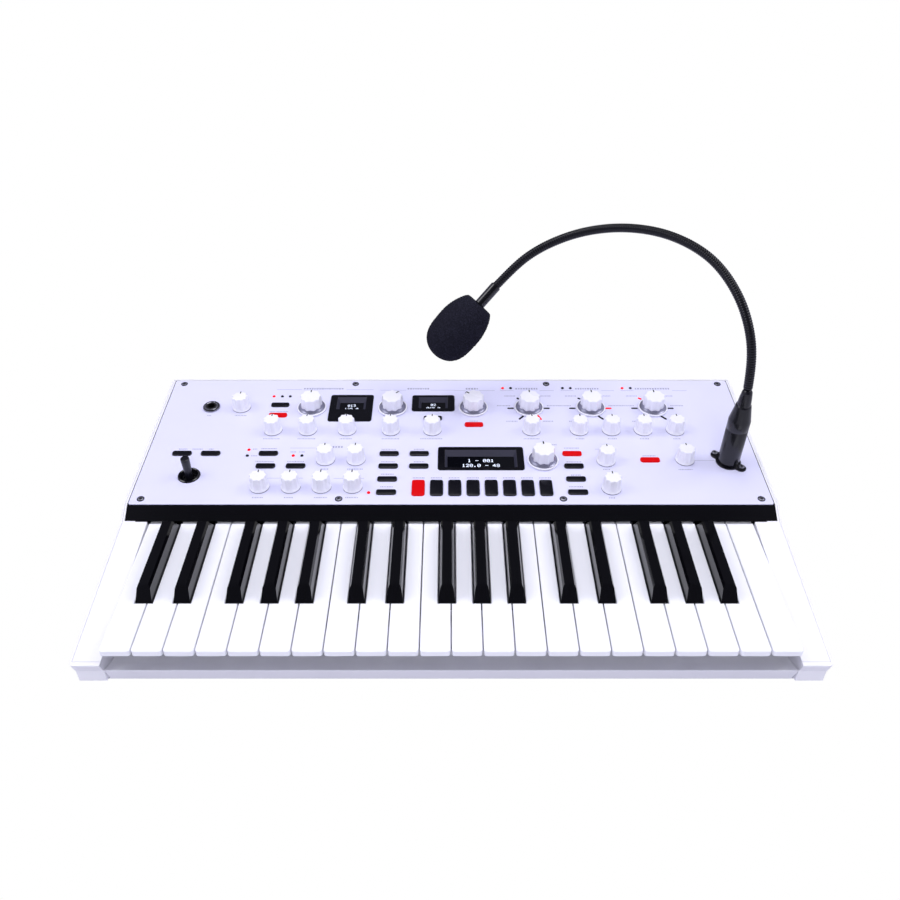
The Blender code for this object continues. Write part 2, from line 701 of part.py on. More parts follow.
def large_knob_mesh():
    """A fluted cap standing in a dished flange, on a shaft that passes through the panel."""
    rings = [
        lobed_ring(LARGE_KNOB_FLANGE_R, 0, 2 * GAP, 2),
        lobed_ring(LARGE_KNOB_FLANGE_R, 0, 0.0014, 2),
        lobed_ring(LARGE_KNOB_DISH_R, 0, 0.0018, 2),
        lobed_ring(LARGE_KNOB_R, LOBE_DEPTH, 0.0040, 2),
        lobed_ring(LARGE_KNOB_TOP_R, LOBE_DEPTH, LARGE_KNOB_H - KNOB_EDGE, 2),
        lobed_ring(LARGE_KNOB_TOP_R - KNOB_EDGE, LOBE_DEPTH, LARGE_KNOB_H, 2)]
    return lofted("large_knob", rings)


def build_large_knobs(parts, cutters, plane, material):
    """One knob mesh with its shaft, shared by the knobs that turn."""
    body = bpy.data.objects.new("large_knob", large_knob_mesh())
    shaft = rod("knob_shaft", SHAFT_R, (0, 0, -SHAFT_DROP), (0, 0, 0.003), 10)
    shape(body, shaft, "knob_shaft", "UNION", cutters)
    tool = body.modifiers[0].object
    mesh = baked("large_knob", body)
    bpy.data.objects.remove(tool)
    for name, at in LARGE_KNOBS.items():
        place(name, mesh, parts, material, plane, (*spot(at), 0))


def button_rings(x, v, size, low, high):
    """A cap with softened top edges, from height low to height high."""
    width = size[0] - 2 * GAP
    height = size[1] - 2 * GAP
    rings = []
    for inset, z in ((0, low), (0, high - BUTTON_EDGE / 2), (BUTTON_EDGE, high)):
        outline = rounded_rect(x, v, width - 2 * inset, height - 2 * inset, BUTTON_R - GAP - inset / 2)
        rings.append([(px, py, z) for px, py in outline])
    return rings


def build_octave_buttons(parts, cutters, plane, material):
    """Two caps that travel, each held in the panel by the flange round its foot."""
    width, height = BUTTON_SIZE
    stem_low = -BOARD_DROP + GAP + BUTTON_TRAVEL
    cap_low = -PANEL_T - GAP - BUTTON_FLANGE / 2
    cap = lofted("cap", button_rings(0, 0, BUTTON_SIZE, cap_low, BUTTON_PROUD))
    body = bpy.data.objects.new("octave_button", cap)
    flange = flat_solid(
        "flange", [rounded_rect(0, 0, width + 0.001, height + 0.001, BUTTON_R)],
        -PANEL_T - GAP - BUTTON_FLANGE, -PANEL_T - GAP)
    half = BUTTON_STEM_W / 2
    stem = block("stem", (-half, -half, stem_low), (half, half, cap_low))
    shape(body, flange, "flange", "UNION", cutters)
    shape(body, stem, "stem", "UNION", cutters)
    tools = [modifier.object for modifier in body.modifiers]
    mesh = baked("octave_button", body)
    for tool in tools:
        bpy.data.objects.remove(tool)
    for name, at in OCTAVE_BUTTONS.items():
        place(name, mesh, parts, material, plane, (*spot(at), 0))


def display_window(x, v, size, lift):
    """The sunk window of a display: a shallow hopper that narrows towards the glass."""
    width, height = size
    rings = []
    for grow, z in ((-DISPLAY_WALL_SLOPE, -DISPLAY_DEPTH), (0.0, DISPLAY_PROUD + 0.0001)):
        outline = rounded_rect(x, v + lift, width + 2 * grow, height + 2 * grow, 0.0005)
        rings.append([(px, py, z) for px, py in outline])
    return lofted("window", rings)


def display_block(x, v, size, back):
    """A display's black bezel block from height back to just above the panel."""
    outline = rounded_rect(x, v, size[0], size[1], DISPLAY_R)
    return flat_solid("bezel", [outline], back, DISPLAY_PROUD)


def build_main_display(parts, cutters, plane, material):
    """The long display's bezel with its sunk window."""
    at, size, window, lift = DISPLAYS["main_display"]
    x, v = spot(at)
    back = -BOARD_DROP + GAP
    display = place("main_display", display_block(0, 0, size, back), parts, material, plane, (x, v, 0))
    shape(display, display_window(0, 0, window, lift), "main_window", "DIFFERENCE", cutters)


def joystick_collar():
    """The bezel and bearing collar round the joystick as one turned ring."""
    top = JOY_BEZEL_PROUD
    x, v = spot(JOYSTICK_AT)
    profile = [
        (JOY_BEZEL_R - 0.0008, top), (JOY_BEZEL_R, top - 0.0004), (JOY_BEZEL_R, -PANEL_T - 0.001),
        (JOY_COLLAR_R, -PANEL_T - 0.001), (JOY_COLLAR_R, -JOY_COLLAR_DROP), (JOY_CUP_R, -JOY_COLLAR_DROP),
        (JOY_CUP_R, -JOY_SHOULDER_DROP), (JOY_THROAT_R, -JOY_THROAT_DROP),
        (JOY_BEZEL_R - 0.0014, top - 0.0003)]
    return moved(turned("joystick_collar", profile, 20), (x, v, 0))


def build_control_board(parts, cutters, plane, material):
    """The circuit board under the panel with the buttons, small displays and switch bodies it carries."""
    xlr_x = spot(XLR_AT)[0]
    left = -PANEL_X + BOARD_SIDE
    right = xlr_x - BOARD_SIDE
    joy_x, joy_v = spot(JOYSTICK_AT)
    edge = [
        (left, BOARD_FRONT), (right, BOARD_FRONT), (right, PANEL_L - BOARD_REAR), (left, PANEL_L - BOARD_REAR)]
    holes = [circle(joy_x, joy_v, JOY_COLLAR_R - 0.001, 16), circle(*spot(JACK_AT), JACK_BARREL_R + 0.001, 12)]
    plate = flat_solid("control_board", [edge] + holes, BOARD_Z, -BOARD_DROP)
    board = place("control_board", plate, parts, material, plane)
    foot = -BOARD_DROP - BOARD_T / 2
    carried = [lofted("button", button_rings(*spot(at), BUTTON_SIZE, foot, BUTTON_PROUD)) for at in BUTTONS]
    carried += [lofted("button", button_rings(*at, CATEGORY_SIZE, foot, BUTTON_PROUD)) for at in category_places()]
    half = ENCODER_W / 2
    for at in LARGE_KNOBS.values():
        x, v = spot(at)
        carried.append(block("encoder", (x - half, v - half, foot), (x + half, v + half, -SHAFT_DROP - GAP)))
    for at in STANDOFFS:
        x, v = spot(at)
        carried.append(rod("standoff", STANDOFF_R, (x, v, foot), (x, v, -PANEL_T - GAP), 8))
    small = [DISPLAYS["oscillator_display"], DISPLAYS["filter_display"]]
    carried += [display_block(*spot(at), size, foot) for at, size, _, _ in small]
    carried.append(joystick_collar())
    shape(board, joined("carried", carried), "carried", "UNION", cutters)
    windows = [display_window(*spot(at), window, lift) for at, _, window, lift in small]
    shape(board, joined("windows", windows), "windows", "DIFFERENCE", cutters)
    reach = JOY_COLLAR_R - 0.0013
    pin_hole = rod(
        "pin_hole", JOY_PIN_R + GAP, (joy_x, joy_v - reach, -JOY_DEPTH), (joy_x, joy_v + reach, -JOY_DEPTH), 10)
    shape(board, pin_hole, "pin_hole", "DIFFERENCE", cutters)
    return board


def build_joystick(parts, cutters, plane, material):
    """A gimbal ring pinned in the collar, and the lever pinned across the ring."""
    x, v = spot(JOYSTICK_AT)
    centre = (x, v, -JOY_DEPTH)
    half = JOY_RING_T / 2
    profile = [
        (JOY_RING_R, half), (JOY_RING_R, -half), (JOY_RING_BORE_R, -half), (JOY_RING_BORE_R, half)]
    yoke = place("joystick_yoke", turned("yoke_ring", profile, 20), parts, material, plane, centre)
    reach = JOY_COLLAR_R - 0.0013 - GAP
    inner = JOY_RING_R - 0.0006
    pins = joined("yoke_pins", [
        rod("pin", JOY_PIN_R, (0, inner, 0), (0, reach, 0), 10),
        rod("pin", JOY_PIN_R, (0, -reach, 0), (0, -inner, 0), 10)])
    shape(yoke, pins, "yoke_pins", "UNION", cutters)
    across = rod("lever_pin_hole", JOY_PIN_R + GAP, (-0.02, 0, 0), (0.02, 0, 0), 10)
    shape(yoke, across, "lever_pin_hole", "DIFFERENCE", cutters)
    rise = JOY_LEVER_H + JOY_DEPTH
    stick = [
        (0, rise), (JOY_LEVER_R - 0.0008, rise), (JOY_LEVER_R, rise - 0.0008), (JOY_LEVER_R, rise - 0.004),
        (JOY_WAIST_R, 0.006), (JOY_WAIST_R, -0.003), (0, -0.003)]
    lever = place("joystick_lever", turned("lever", stick, 14), parts, material, plane, centre)
    end = JOY_RING_R - 0.0004
    shape(lever, rod("lever_pin", JOY_PIN_R, (-end, 0, 0), (end, 0, 0), 10), "lever_pin", "UNION", cutters)


def build_phones_jack(parts, plane, material):
    """The headphone socket: nut above the panel, threaded sleeve through it and barrel below."""
    profile = [
        (JACK_NUT_R - 0.0006, JACK_NUT_H), (JACK_NUT_R, JACK_NUT_H - 0.0005), (JACK_NUT_R, GAP),
        (JACK_SLEEVE_R, GAP), (JACK_SLEEVE_R, -PANEL_T - GAP), (JACK_BARREL_R, -PANEL_T - GAP),
        (JACK_BARREL_R, -JACK_DEPTH), (0, -JACK_DEPTH), (0, -JACK_BORE_DEPTH),
        (JACK_BORE_R, -JACK_BORE_DEPTH), (JACK_BORE_R, JACK_NUT_H)]
    place("phones_jack", turned_open("phones_jack", profile, 16), parts, material, plane, (*spot(JACK_AT), 0))


def turned_open(name, profile, sides):
    """A turned cup: the profile runs down the outside, touches the axis at its foot and comes back up."""
    mesh = bpy.data.meshes.new(name)
    points = [(radius, 0, height) for radius, height in profile]
    edges = []
    for i in range(len(points)):
        j = (i + 1) % len(points)
        if profile[i][0] > 0 or profile[j][0] > 0:
            edges.append((i, j))
    mesh.from_pydata(points, edges, [])
    source = bpy.data.objects.new(name, mesh)
    screw = source.modifiers.new("spin", "SCREW")
    screw.steps = sides
    screw.render_steps = sides
    screw.use_merge_vertices = True
    screw.merge_threshold = WELD
    return baked(name, source)


def build_xlr_socket(parts, plane, material):
    """The microphone socket: thin flange above the panel, deep cup below it."""
    bore = PLUG_R + GAP
    floor = -PLUG_DEPTH - 0.001
    profile = [
        (XLR_FLANGE_R, XLR_FLANGE_T), (XLR_FLANGE_R, GAP), (XLR_BODY_R, GAP), (XLR_BODY_R, -XLR_DEPTH),
        (0, -XLR_DEPTH), (0, floor), (bore, floor), (bore, XLR_FLANGE_T)]
    place("xlr_socket", turned_open("xlr_socket", profile, 20), parts, material, plane, (*spot(XLR_AT), 0))


def build_mic_connector(parts, plane, material):
    """The microphone's plug: pin end, barrel, taper, rubber boot and the round head the neck bends on."""
    dome = [(r, BEND_H + h) for r, h in arc(0, 0, BOOT_TOP_R, 90, 0, 5)]
    dome[0] = (0, dome[0][1])
    seat = XLR_FLANGE_T + GAP
    profile = dome + [
        (BOOT_R, MIC_TAPER_TOP), (MIC_TAPER_R, MIC_TAPER_TOP), (MIC_BODY_R - 0.0003, MIC_BODY_TOP),
        (MIC_BODY_R, MIC_BODY_TOP - 0.0012), (MIC_BODY_R, seat), (PLUG_R, seat),
        (PLUG_R, -PLUG_DEPTH), (0, -PLUG_DEPTH)]
    place("mic_connector", turned("mic_connector", profile, 20), parts, material, plane, (*spot(XLR_AT), 0))


def smooth_route(points, start_aim, end_aim, samples):
    """A smooth curve through the points: each stretch is a cubic whose slopes follow its neighbours."""
    points = np.array(points)
    first = np.linalg.norm(points[1] - points[0])
    last = np.linalg.norm(points[-1] - points[-2])
    padded = np.vstack((points[0] - first * np.array(start_aim), points, points[-1] + last * np.array(end_aim)))
    knots = np.concatenate(([0], np.cumsum(np.linalg.norm(np.diff(padded, axis=0), axis=1))))
    slopes = (padded[2:] - padded[:-2]) / (knots[2:] - knots[:-2])[:, None]
    rows = []
    for i in range(len(points) - 1):
        length = knots[i + 2] - knots[i + 1]
        t = np.linspace(0, 1, samples, endpoint=i == len(points) - 2)[:, None]
        rows.append(
            (2 * t**3 - 3 * t**2 + 1) * points[i] + (t**3 - 2 * t**2 + t) * length * slopes[i]
            + (3 * t**2 - 2 * t**3) * points[i + 1] + (t**3 - t**2) * length * slopes[i + 1])
    return np.vstack(rows)


def neck_stations():
    """Points and relative radii down the neck: ribs at an even pitch, then the plain stem."""
    normal = (0, -math.sin(PANEL_TILT), math.cos(PANEL_TILT))
    route = smooth_route(NECK_ROUTE, normal, STEM_AIM, 24)
    travelled = np.concatenate(([0], np.cumsum(np.linalg.norm(np.diff(route, axis=0), axis=1))))
    plain = 2 * NECK_R
    ribs = int((travelled[-1] - 2 * plain) / NECK_RIB_PITCH)
    at = [0.001]
    radius = [1.0]
    for i in range(2 * ribs + 1):
        at.append(plain + i * NECK_RIB_PITCH / 2)
        radius.append(1.0 if i % 2 == 0 else 1.0 - NECK_RIB_DEPTH)
    at.append(travelled[-1] - 0.0002)
    radius.append(1.0)
    line = np.column_stack([np.interp(at, travelled, route[:, k]) for k in range(3)])
    aim = np.array(STEM_AIM) / np.linalg.norm(STEM_AIM)
    for reach in (0.0, STEM_L + CAPSULE_L):
        line = np.vstack((line, route[-1] + reach * aim))
        radius.append(STEM_R / NECK_R)
    return line, radius


def build_gooseneck(parts, cutters, material):
    """The ribbed neck with the microphone's stem on its end; its foot is cupped over the plug's round head."""
    line, radius = neck_stations()
    curve = bpy.data.curves.new("gooseneck", "CURVE")
    curve.dimensions = "3D"
    curve.bevel_depth = NECK_R
    curve.bevel_resolution = 2
    curve.use_fill_caps = True
    spline = curve.splines.new("POLY")
    spline.points.add(len(line) - 1)
    for point, position, r in zip(spline.points, line, radius):
        point.co = (*position, 1)
        point.radius = r
    tube = baked("gooseneck", bpy.data.objects.new("gooseneck", curve))
    tube.shade_smooth()
    bend = panel_point(*spot(XLR_AT), BEND_H)
    neck = place("gooseneck", tube, parts, material, location=bend)
    edit = bmesh.new()
    bmesh.ops.create_uvsphere(edit, u_segments=20, v_segments=12, radius=BOOT_TOP_R + GAP)
    bmesh.ops.rotate(edit, verts=edit.verts, matrix=Matrix.Rotation(PANEL_TILT, 3, "X"))
    ball = bpy.data.meshes.new("bend_ball")
    edit.to_mesh(ball)
    edit.free()
    shape(neck, ball, "bend_ball", "DIFFERENCE", cutters)
    return bend, line[-2]


def windscreen_profile():
    """Outline of the foam from its tip to its shoulder: a blunt dome, a full waist and a narrower end."""
    points = []
    for t in np.sin(np.linspace(math.pi / 2, 0, 8)):
        r = WINDSCREEN_R * math.sqrt(max(0.0, 1 - t**3.4))
        points.append((r, WINDSCREEN_WAIST + t * (WINDSCREEN_L - WINDSCREEN_WAIST)))
    points[0] = (0, WINDSCREEN_L)
    for t in np.linspace(0.75, 0, 5):
        grow = math.sin(t * math.pi / 2) ** 0.7
        r = WINDSCREEN_SHOULDER_R + (WINDSCREEN_R - WINDSCREEN_SHOULDER_R) * grow
        points.append((r, t * WINDSCREEN_WAIST))
    return points


def build_windscreen(parts, material, shoulder):
    """The foam ball pushed over the microphone."""
    hole_r = STEM_R + GAP
    hole_top = CAPSULE_L + GAP
    profile = windscreen_profile() + [(hole_r, 0), (hole_r, hole_top), (0, hole_top)]
    turn = Vector(STEM_AIM).to_track_quat("Z", "Y").to_euler()
    place("windscreen", turned("windscreen", profile, 20), parts, material, location=shoulder, rotation=turn)


def key_body(name, front, half_low, half_high):
    """The hollow bar under a key, in the side view with the notch that seats it on the hinge rail."""
    low = PIVOT_DROP - KEY_BODY_H
    high = RAIL_R + GAP + TAIL_WALL
    rail = RAIL_R + GAP
    over_rail = arc(0, 0, rail, 180, 0, 6)
    outline = [(front, high), (front, low), (-rail, low)] + over_rail + [
        (rail, low), (rail + TAIL_WALL, low), (rail + TAIL_WALL, high)]
    return side_solid(name, outline, half_low, half_high)


def white_key_mesh(left_cut, right_cut, cutters):
    """A white key about its hinge: lipped top plate notched for its black neighbours, over a hollow bar."""
    half = (KEY_PITCH - KEY_GAP) / 2
    left = -half + left_cut
    right = half - right_cut
    front = KEY_FRONT_Y - PIVOT_Y
    rear = KEY_REAR_Y - PIVOT_Y
    notch = BLACK_FRONT_Y - BLACK_CLEARANCE - PIVOT_Y
    r = KEY_NOSE_R
    outline = arc(-half + r, front + r, r, 180, 270, 2) + arc(half - r, front + r, r, 270, 360, 2)
    if right_cut:
        outline += [(half, notch), (right, notch)]
    outline += [(right, rear), (left, rear)]
    if left_cut:
        outline += [(left, notch), (-half, notch)]
    plate = flat_solid("white_key", [outline], PIVOT_DROP - KEY_LIP_H, PIVOT_DROP)
    soften_top(plate)
    key = bpy.data.objects.new("white_key", plate)
    body_front = front + KEY_BODY_SETBACK
    inset = 0.0004
    body = key_body("body", body_front, left + inset, right - inset)
    shape(key, body, "body", "UNION", cutters)
    hollow_low = (left + inset + KEY_WALL, body_front + KEY_WALL, PIVOT_DROP - KEY_BODY_H - 0.001)
    hollow_high = (right - inset - KEY_WALL, rear - KEY_WALL, PIVOT_DROP - KEY_TOP_T)
    shape(key, block("hollow", hollow_low, hollow_high), "hollow", "DIFFERENCE", cutters)
    return finish_key(key, "white_key")


def soften_top(mesh):
    """Chamfer the edges round a plate's upper face by KEY_EDGE."""
    edit = bmesh.new()
    edit.from_mesh(mesh)
    bmesh.ops.dissolve_limit(edit, angle_limit=0.001, verts=edit.verts, edges=edit.edges)
    top = max(vert.co.z for vert in edit.verts)
    rim = [edge for edge in edit.edges if all(abs(vert.co.z - top) < WELD for vert in edge.verts)]
    bmesh.ops.bevel(edit, geom=rim, offset=KEY_EDGE, segments=1, affect="EDGES")
    edit.to_mesh(mesh)
    edit.free()


def black_key_mesh(cutters):
    """A black key about its hinge: tapered cap with sloping front and bevelled edges, over a hollow bar."""
    front = BLACK_FRONT_Y - PIVOT_Y
    rear = BLACK_REAR_Y - PIVOT_Y
    base = PIVOT_DROP - BLACK_SINK
    rise = BLACK_H + BLACK_SINK
    rings = []
    steps = (
        (BLACK_W, 0), (BLACK_W, BLACK_SINK), (BLACK_SHOULDER_W, rise - BLACK_BEVEL_H), (BLACK_TOP_W, rise))
    for width, z in steps:
        share = max(0, z - BLACK_SINK) / BLACK_H
        y0 = front + BLACK_FRONT_SLOPE * share
        y1 = rear - BLACK_REAR_SLOPE * share
        x = width / 2
        rings.append([(-x, y0, base + z), (x, y0, base + z), (x, y1, base + z), (-x, y1, base + z)])
    key = bpy.data.objects.new("black_key", lofted("black_key", rings))
    half = BLACK_W / 2 - 0.0012
    body_front = front + 0.002
    shape(key, key_body("body", body_front, -half, half), "body", "UNION", cutters)
    hollow_low = (-half + KEY_WALL, body_front + BLACK_FRONT_SLOPE, PIVOT_DROP - KEY_BODY_H - 0.001)
    hollow_high = (half - KEY_WALL, rear - BLACK_REAR_SLOPE, PIVOT_DROP + BLACK_H / 2)
    shape(key, block("hollow", hollow_low, hollow_high), "hollow", "DIFFERENCE", cutters)
    return finish_key(key, "black_key")


def finish_key(key, name):
    """Bake a key's Booleans into one shared mesh and drop their tools."""
    tools = [modifier.object for modifier in key.modifiers]
    mesh = baked(name, key)
    for tool in tools:
        bpy.data.objects.remove(tool)
    return mesh


def key_cuts(index):
    """How much a white key's tail gives way on its left and right to its black neighbours."""
    note = NOTES[index % 7]
    before = NOTES[(index - 1) % 7]
    reach = BLACK_W / 2 + BLACK_CLEARANCE - KEY_GAP / 2
    left = reach + BLACK_OFFSETS[before] if before in BLACK_OFFSETS and index > 0 else 0.0
    right = reach - BLACK_OFFSETS[note] if note in BLACK_OFFSETS and index < WHITE_COUNT - 1 else 0.0
    return left, right


def build_keys(parts, cutters, white, black):
    """All keys, each an object on the hinge axis, sharing one mesh per shape."""
    meshes = {}
    black_mesh = black_key_mesh(cutters)
    first = -KEYS_W / 2
    for index in range(WHITE_COUNT):
        note = NOTES[index % 7]
        octave = FIRST_OCTAVE + index // 7
        cuts = key_cuts(index)
        if cuts not in meshes:
            meshes[cuts] = white_key_mesh(*cuts, cutters)
        x = first + (index + 0.5) * KEY_PITCH
        name = f"white_key_{note.lower()}{octave}"
        place(name, meshes[cuts], parts, white, location=(x, PIVOT_Y, PIVOT_Z))
        if cuts[1]:
            x = first + (index + 1) * KEY_PITCH + BLACK_OFFSETS[note]
            name = f"black_key_{note.lower()}_sharp{octave}"
            place(name, black_mesh, parts, black, location=(x, PIVOT_Y, PIVOT_Z))


def build_keybed(parts, cutters, material):
    """The moulded chassis under the keys: base, front stop, ribbed pillar and the round hinge rail."""
    low = FLOOR_Z + GAP
    top = low + KEYBED_T
    half = KEYBED_PILLAR_T / 2
    drop = math.sqrt(RAIL_R**2 - half**2)
    start = math.degrees(math.atan2(-drop, half))
    rail = arc(PIVOT_Y, PIVOT_Z, RAIL_R, start, 180 - start, 10)
    stop_y = FRONT_Y + KEYBED_STOP_BEHIND_FRONT
    swing = math.sin(KEY_TRAVEL) * (PIVOT_Y - stop_y + KEYBED_STOP_W / 2)
    stop_z = KEY_TOP_Z - KEY_BODY_H - swing - 2 * GAP
    front = FRONT_Y + KEYBED_FRONT
    rear = PIVOT_Y + KEYBED_REAR
    outline = [(front, low), (rear, low), (rear, top), (PIVOT_Y + half, top)] + rail + [
        (PIVOT_Y - half, top), (stop_y + KEYBED_STOP_W / 2, top), (stop_y + KEYBED_STOP_W / 2, stop_z),
        (stop_y - KEYBED_STOP_W / 2, stop_z), (stop_y - KEYBED_STOP_W / 2, top), (front, top)]
    reach = KEYS_W / 2
    bed = place("keybed_frame", side_solid("keybed_frame", outline, -reach, reach), parts, material)
    rib = [
        (PIVOT_Y - half + 0.0005, top - 0.0005), (PIVOT_Y - half + 0.0005, top + KEYBED_RIB_H),
        (PIVOT_Y - half - KEYBED_RIB_L, top - 0.0005)]
    ribs = []
    for x in np.linspace(-reach + KEYBED_RIB_T, reach - KEYBED_RIB_T, KEYBED_RIBS):
        ribs.append(side_solid("rib", rib, x - KEYBED_RIB_T / 2, x + KEYBED_RIB_T / 2))
    shape(bed, joined("ribs", ribs), "ribs", "UNION", cutters)


def build():
    clear_scene()
    parts = new_collection("analog_synthesizer")
    cutters = new_collection("cutters")
    plane = bpy.data.objects.new("panel_plane", None)
    parts.objects.link(plane)
    plane.location = (0, PANEL_Y, PANEL_Z)
    plane.rotation_euler = (PANEL_TILT, 0, 0)

    white = finish("white_abs", WHITE, 0.35)
    key_white = finish("white_key_plastic", WHITE, 0.25)
    key_black = finish("black_key_plastic", BLACK, 0.3)
    pearl = finish("pearl_painted_metal", PEARL, 0.35, 0.2)
    gloss_black = finish("gloss_black_plastic", BLACK, 0.12)
    satin_black = finish("satin_black_plastic", DARK, 0.45)
    knob_white = finish("knob_plastic", WHITE, 0.3)
    black_metal = finish("black_anodised_metal", DARK, 0.35, 0.8)
    foam = finish("open_cell_foam", BLACK, 0.95)
    chassis = finish("grey_abs", (0.08, 0.08, 0.09), 0.5)
    nickel = finish("black_nickel", (0.1, 0.1, 0.1), 0.25, 1.0)

    build_bottom_case(parts, cutters, white)
    build_keybed(parts, cutters, chassis)
    build_top_case(parts, cutters, white)
    build_riser(parts, cutters, gloss_black)
    build_top_panel(parts, cutters, plane, pearl)
    build_control_board(parts, cutters, plane, satin_black)
    build_main_display(parts, cutters, plane, gloss_black)
    build_phones_jack(parts, plane, nickel)
    build_joystick(parts, cutters, plane, satin_black)
    build_large_knobs(parts, cutters, plane, knob_white)
    build_octave_buttons(parts, cutters, plane, satin_black)
    build_xlr_socket(parts, plane, satin_black)
    build_mic_connector(parts, plane, black_metal)
    bend, stem = build_gooseneck(parts, cutters, black_metal)
    aim = Vector(STEM_AIM).normalized()
    build_windscreen(parts, foam, bend + Vector(stem) + aim * STEM_L)
    build_keys(parts, cutters, key_white, key_black)


build()
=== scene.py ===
"""Looks of the analog synthesizer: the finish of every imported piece, and the fine meshes fitted over them.

Lengths are in metres. Places on the control panel are worked out in its own plane: x across, v up the
slope from the panel's front edge and h square to it.
"""
import json
import math

import bmesh
import bpy
import numpy as np
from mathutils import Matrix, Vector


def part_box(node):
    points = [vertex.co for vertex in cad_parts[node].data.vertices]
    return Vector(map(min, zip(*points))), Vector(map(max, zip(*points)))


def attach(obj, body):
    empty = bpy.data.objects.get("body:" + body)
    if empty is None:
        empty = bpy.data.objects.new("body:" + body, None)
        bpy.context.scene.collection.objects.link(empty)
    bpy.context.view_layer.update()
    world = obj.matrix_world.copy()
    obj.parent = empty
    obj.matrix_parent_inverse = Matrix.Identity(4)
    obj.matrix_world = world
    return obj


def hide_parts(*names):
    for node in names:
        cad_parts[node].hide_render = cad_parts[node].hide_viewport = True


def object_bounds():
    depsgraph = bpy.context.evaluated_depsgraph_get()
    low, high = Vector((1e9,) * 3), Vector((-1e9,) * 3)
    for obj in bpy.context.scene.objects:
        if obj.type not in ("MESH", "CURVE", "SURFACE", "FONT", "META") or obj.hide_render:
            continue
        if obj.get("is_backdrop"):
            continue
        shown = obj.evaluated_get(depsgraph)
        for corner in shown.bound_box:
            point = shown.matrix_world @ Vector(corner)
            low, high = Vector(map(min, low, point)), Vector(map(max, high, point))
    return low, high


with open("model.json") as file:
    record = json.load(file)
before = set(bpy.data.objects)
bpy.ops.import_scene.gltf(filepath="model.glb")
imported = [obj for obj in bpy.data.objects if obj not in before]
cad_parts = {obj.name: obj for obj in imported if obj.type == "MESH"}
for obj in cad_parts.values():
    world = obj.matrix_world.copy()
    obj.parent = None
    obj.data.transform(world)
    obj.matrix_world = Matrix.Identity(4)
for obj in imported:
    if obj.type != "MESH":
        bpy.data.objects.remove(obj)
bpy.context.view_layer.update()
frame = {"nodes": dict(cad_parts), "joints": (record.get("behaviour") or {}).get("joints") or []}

# The photograph's camera: in front of the keys, looking down at the panel. The lens and the place come
# from the case's known width and depth in the picture.
CAMERA_AT = (-0.0009, -0.5845, 0.5664)
CAMERA_PITCH = 37.53
SENSOR_MM = 36
LENS_MM = 35.13

camera = bpy.data.objects.new("camera", bpy.data.cameras.new("camera"))
camera.data.sensor_width = SENSOR_MM
camera.data.lens = LENS_MM
camera.location = CAMERA_AT
camera.rotation_euler = (math.radians(90 - CAMERA_PITCH), 0, 0)
bpy.context.scene.collection.objects.link(camera)
bpy.context.scene.camera = camera
bpy.context.scene.view_settings.view_transform = "Standard"


# The studio: a seamless white floor under soft, even light from lamps overhead, in front and at both
# sides, and the white room around, brighter overhead. Mirrors see the room's sides brighter than its back.
def linear(code):
    """sRGB hex to linear light: each channel over 12.92 below the knee, else a 2.4 power."""
    channels = [int(code[i:i + 2], 16) / 255 for i in (0, 2, 4)]
    return [c / 12.92 if c <= 0.04045 else ((c + 0.055) / 1.055) ** 2.4 for c in channels] + [1.0]


def add_node(tree, kind, settings=None, inputs=None, links=None):
    """Add a node: settings are its properties, inputs its fixed sockets, links its sockets' sources."""
    node = tree.nodes.new(kind)
    for key, value in (settings or {}).items():
        setattr(node, key, value)
    for key, value in (inputs or {}).items():
        node.inputs[key].default_value = value
    for key, source in (links or {}).items():
        tree.links.new(source, node.inputs[key])
    return node


world = bpy.data.worlds.new("white_room")
world.use_nodes = True
bpy.context.scene.world = world
sky = world.node_tree
sky.nodes.clear()
path = add_node(sky, "ShaderNodeLightPath")
seen = add_node(sky, "ShaderNodeMath", {"operation": "MAXIMUM"}, links={
    0: path.outputs["Is Camera Ray"], 1: path.outputs["Is Transmission Ray"]})
towards = add_node(sky, "ShaderNodeTexCoord")
split = add_node(sky, "ShaderNodeSeparateXYZ", links={0: towards.outputs["Generated"]})
height = add_node(sky, "ShaderNodeMapRange", inputs={
    "From Min": -0.1, "From Max": 0.9, "To Min": 0.5, "To Max": 0.74}, links={"Value": split.outputs["Z"]})
ambient = add_node(sky, "ShaderNodeBackground", inputs={"Color": linear("E9E8FC")}, links={
    "Strength": height.outputs[0]})
sideways = add_node(sky, "ShaderNodeMath", {"operation": "ABSOLUTE"}, links={0: split.outputs["X"]})
walls = add_node(sky, "ShaderNodeMapRange", inputs={
    "From Min": 0.3, "From Max": 0.85, "To Min": 0.1, "To Max": 0.85}, links={"Value": sideways.outputs[0]})
mirrored = add_node(sky, "ShaderNodeBackground", inputs={"Color": linear("DCDCF6")}, links={
    "Strength": walls.outputs[0]})
backdrop = add_node(sky, "ShaderNodeBackground", inputs={"Color": (1, 1, 1, 1), "Strength": 1.0})
lit = add_node(sky, "ShaderNodeMixShader", links={
    0: path.outputs["Is Glossy Ray"], 1: ambient.outputs[0], 2: mirrored.outputs[0]})
mixed = add_node(sky, "ShaderNodeMixShader", links={
    0: seen.outputs[0], 1: lit.outputs[0], 2: backdrop.outputs[0]})
add_node(sky, "ShaderNodeOutputWorld", links={"Surface": mixed.outputs[0]})


def lamp(name, place, aim, size, watts):
    """A square soft box at place, pointing at aim."""
    light = bpy.data.lights.new(name, "AREA")
    light.size = size
    light.energy = watts
    obj = bpy.data.objects.new(name, light)
    obj.location = place
    way = np.array(aim) - np.array(place)
    flat = math.hypot(way[0], way[1])
    obj.rotation_euler = (math.atan2(flat, -way[2]), 0, math.atan2(way[1], way[0]) - math.pi / 2)
    bpy.context.scene.collection.objects.link(obj)
    return obj


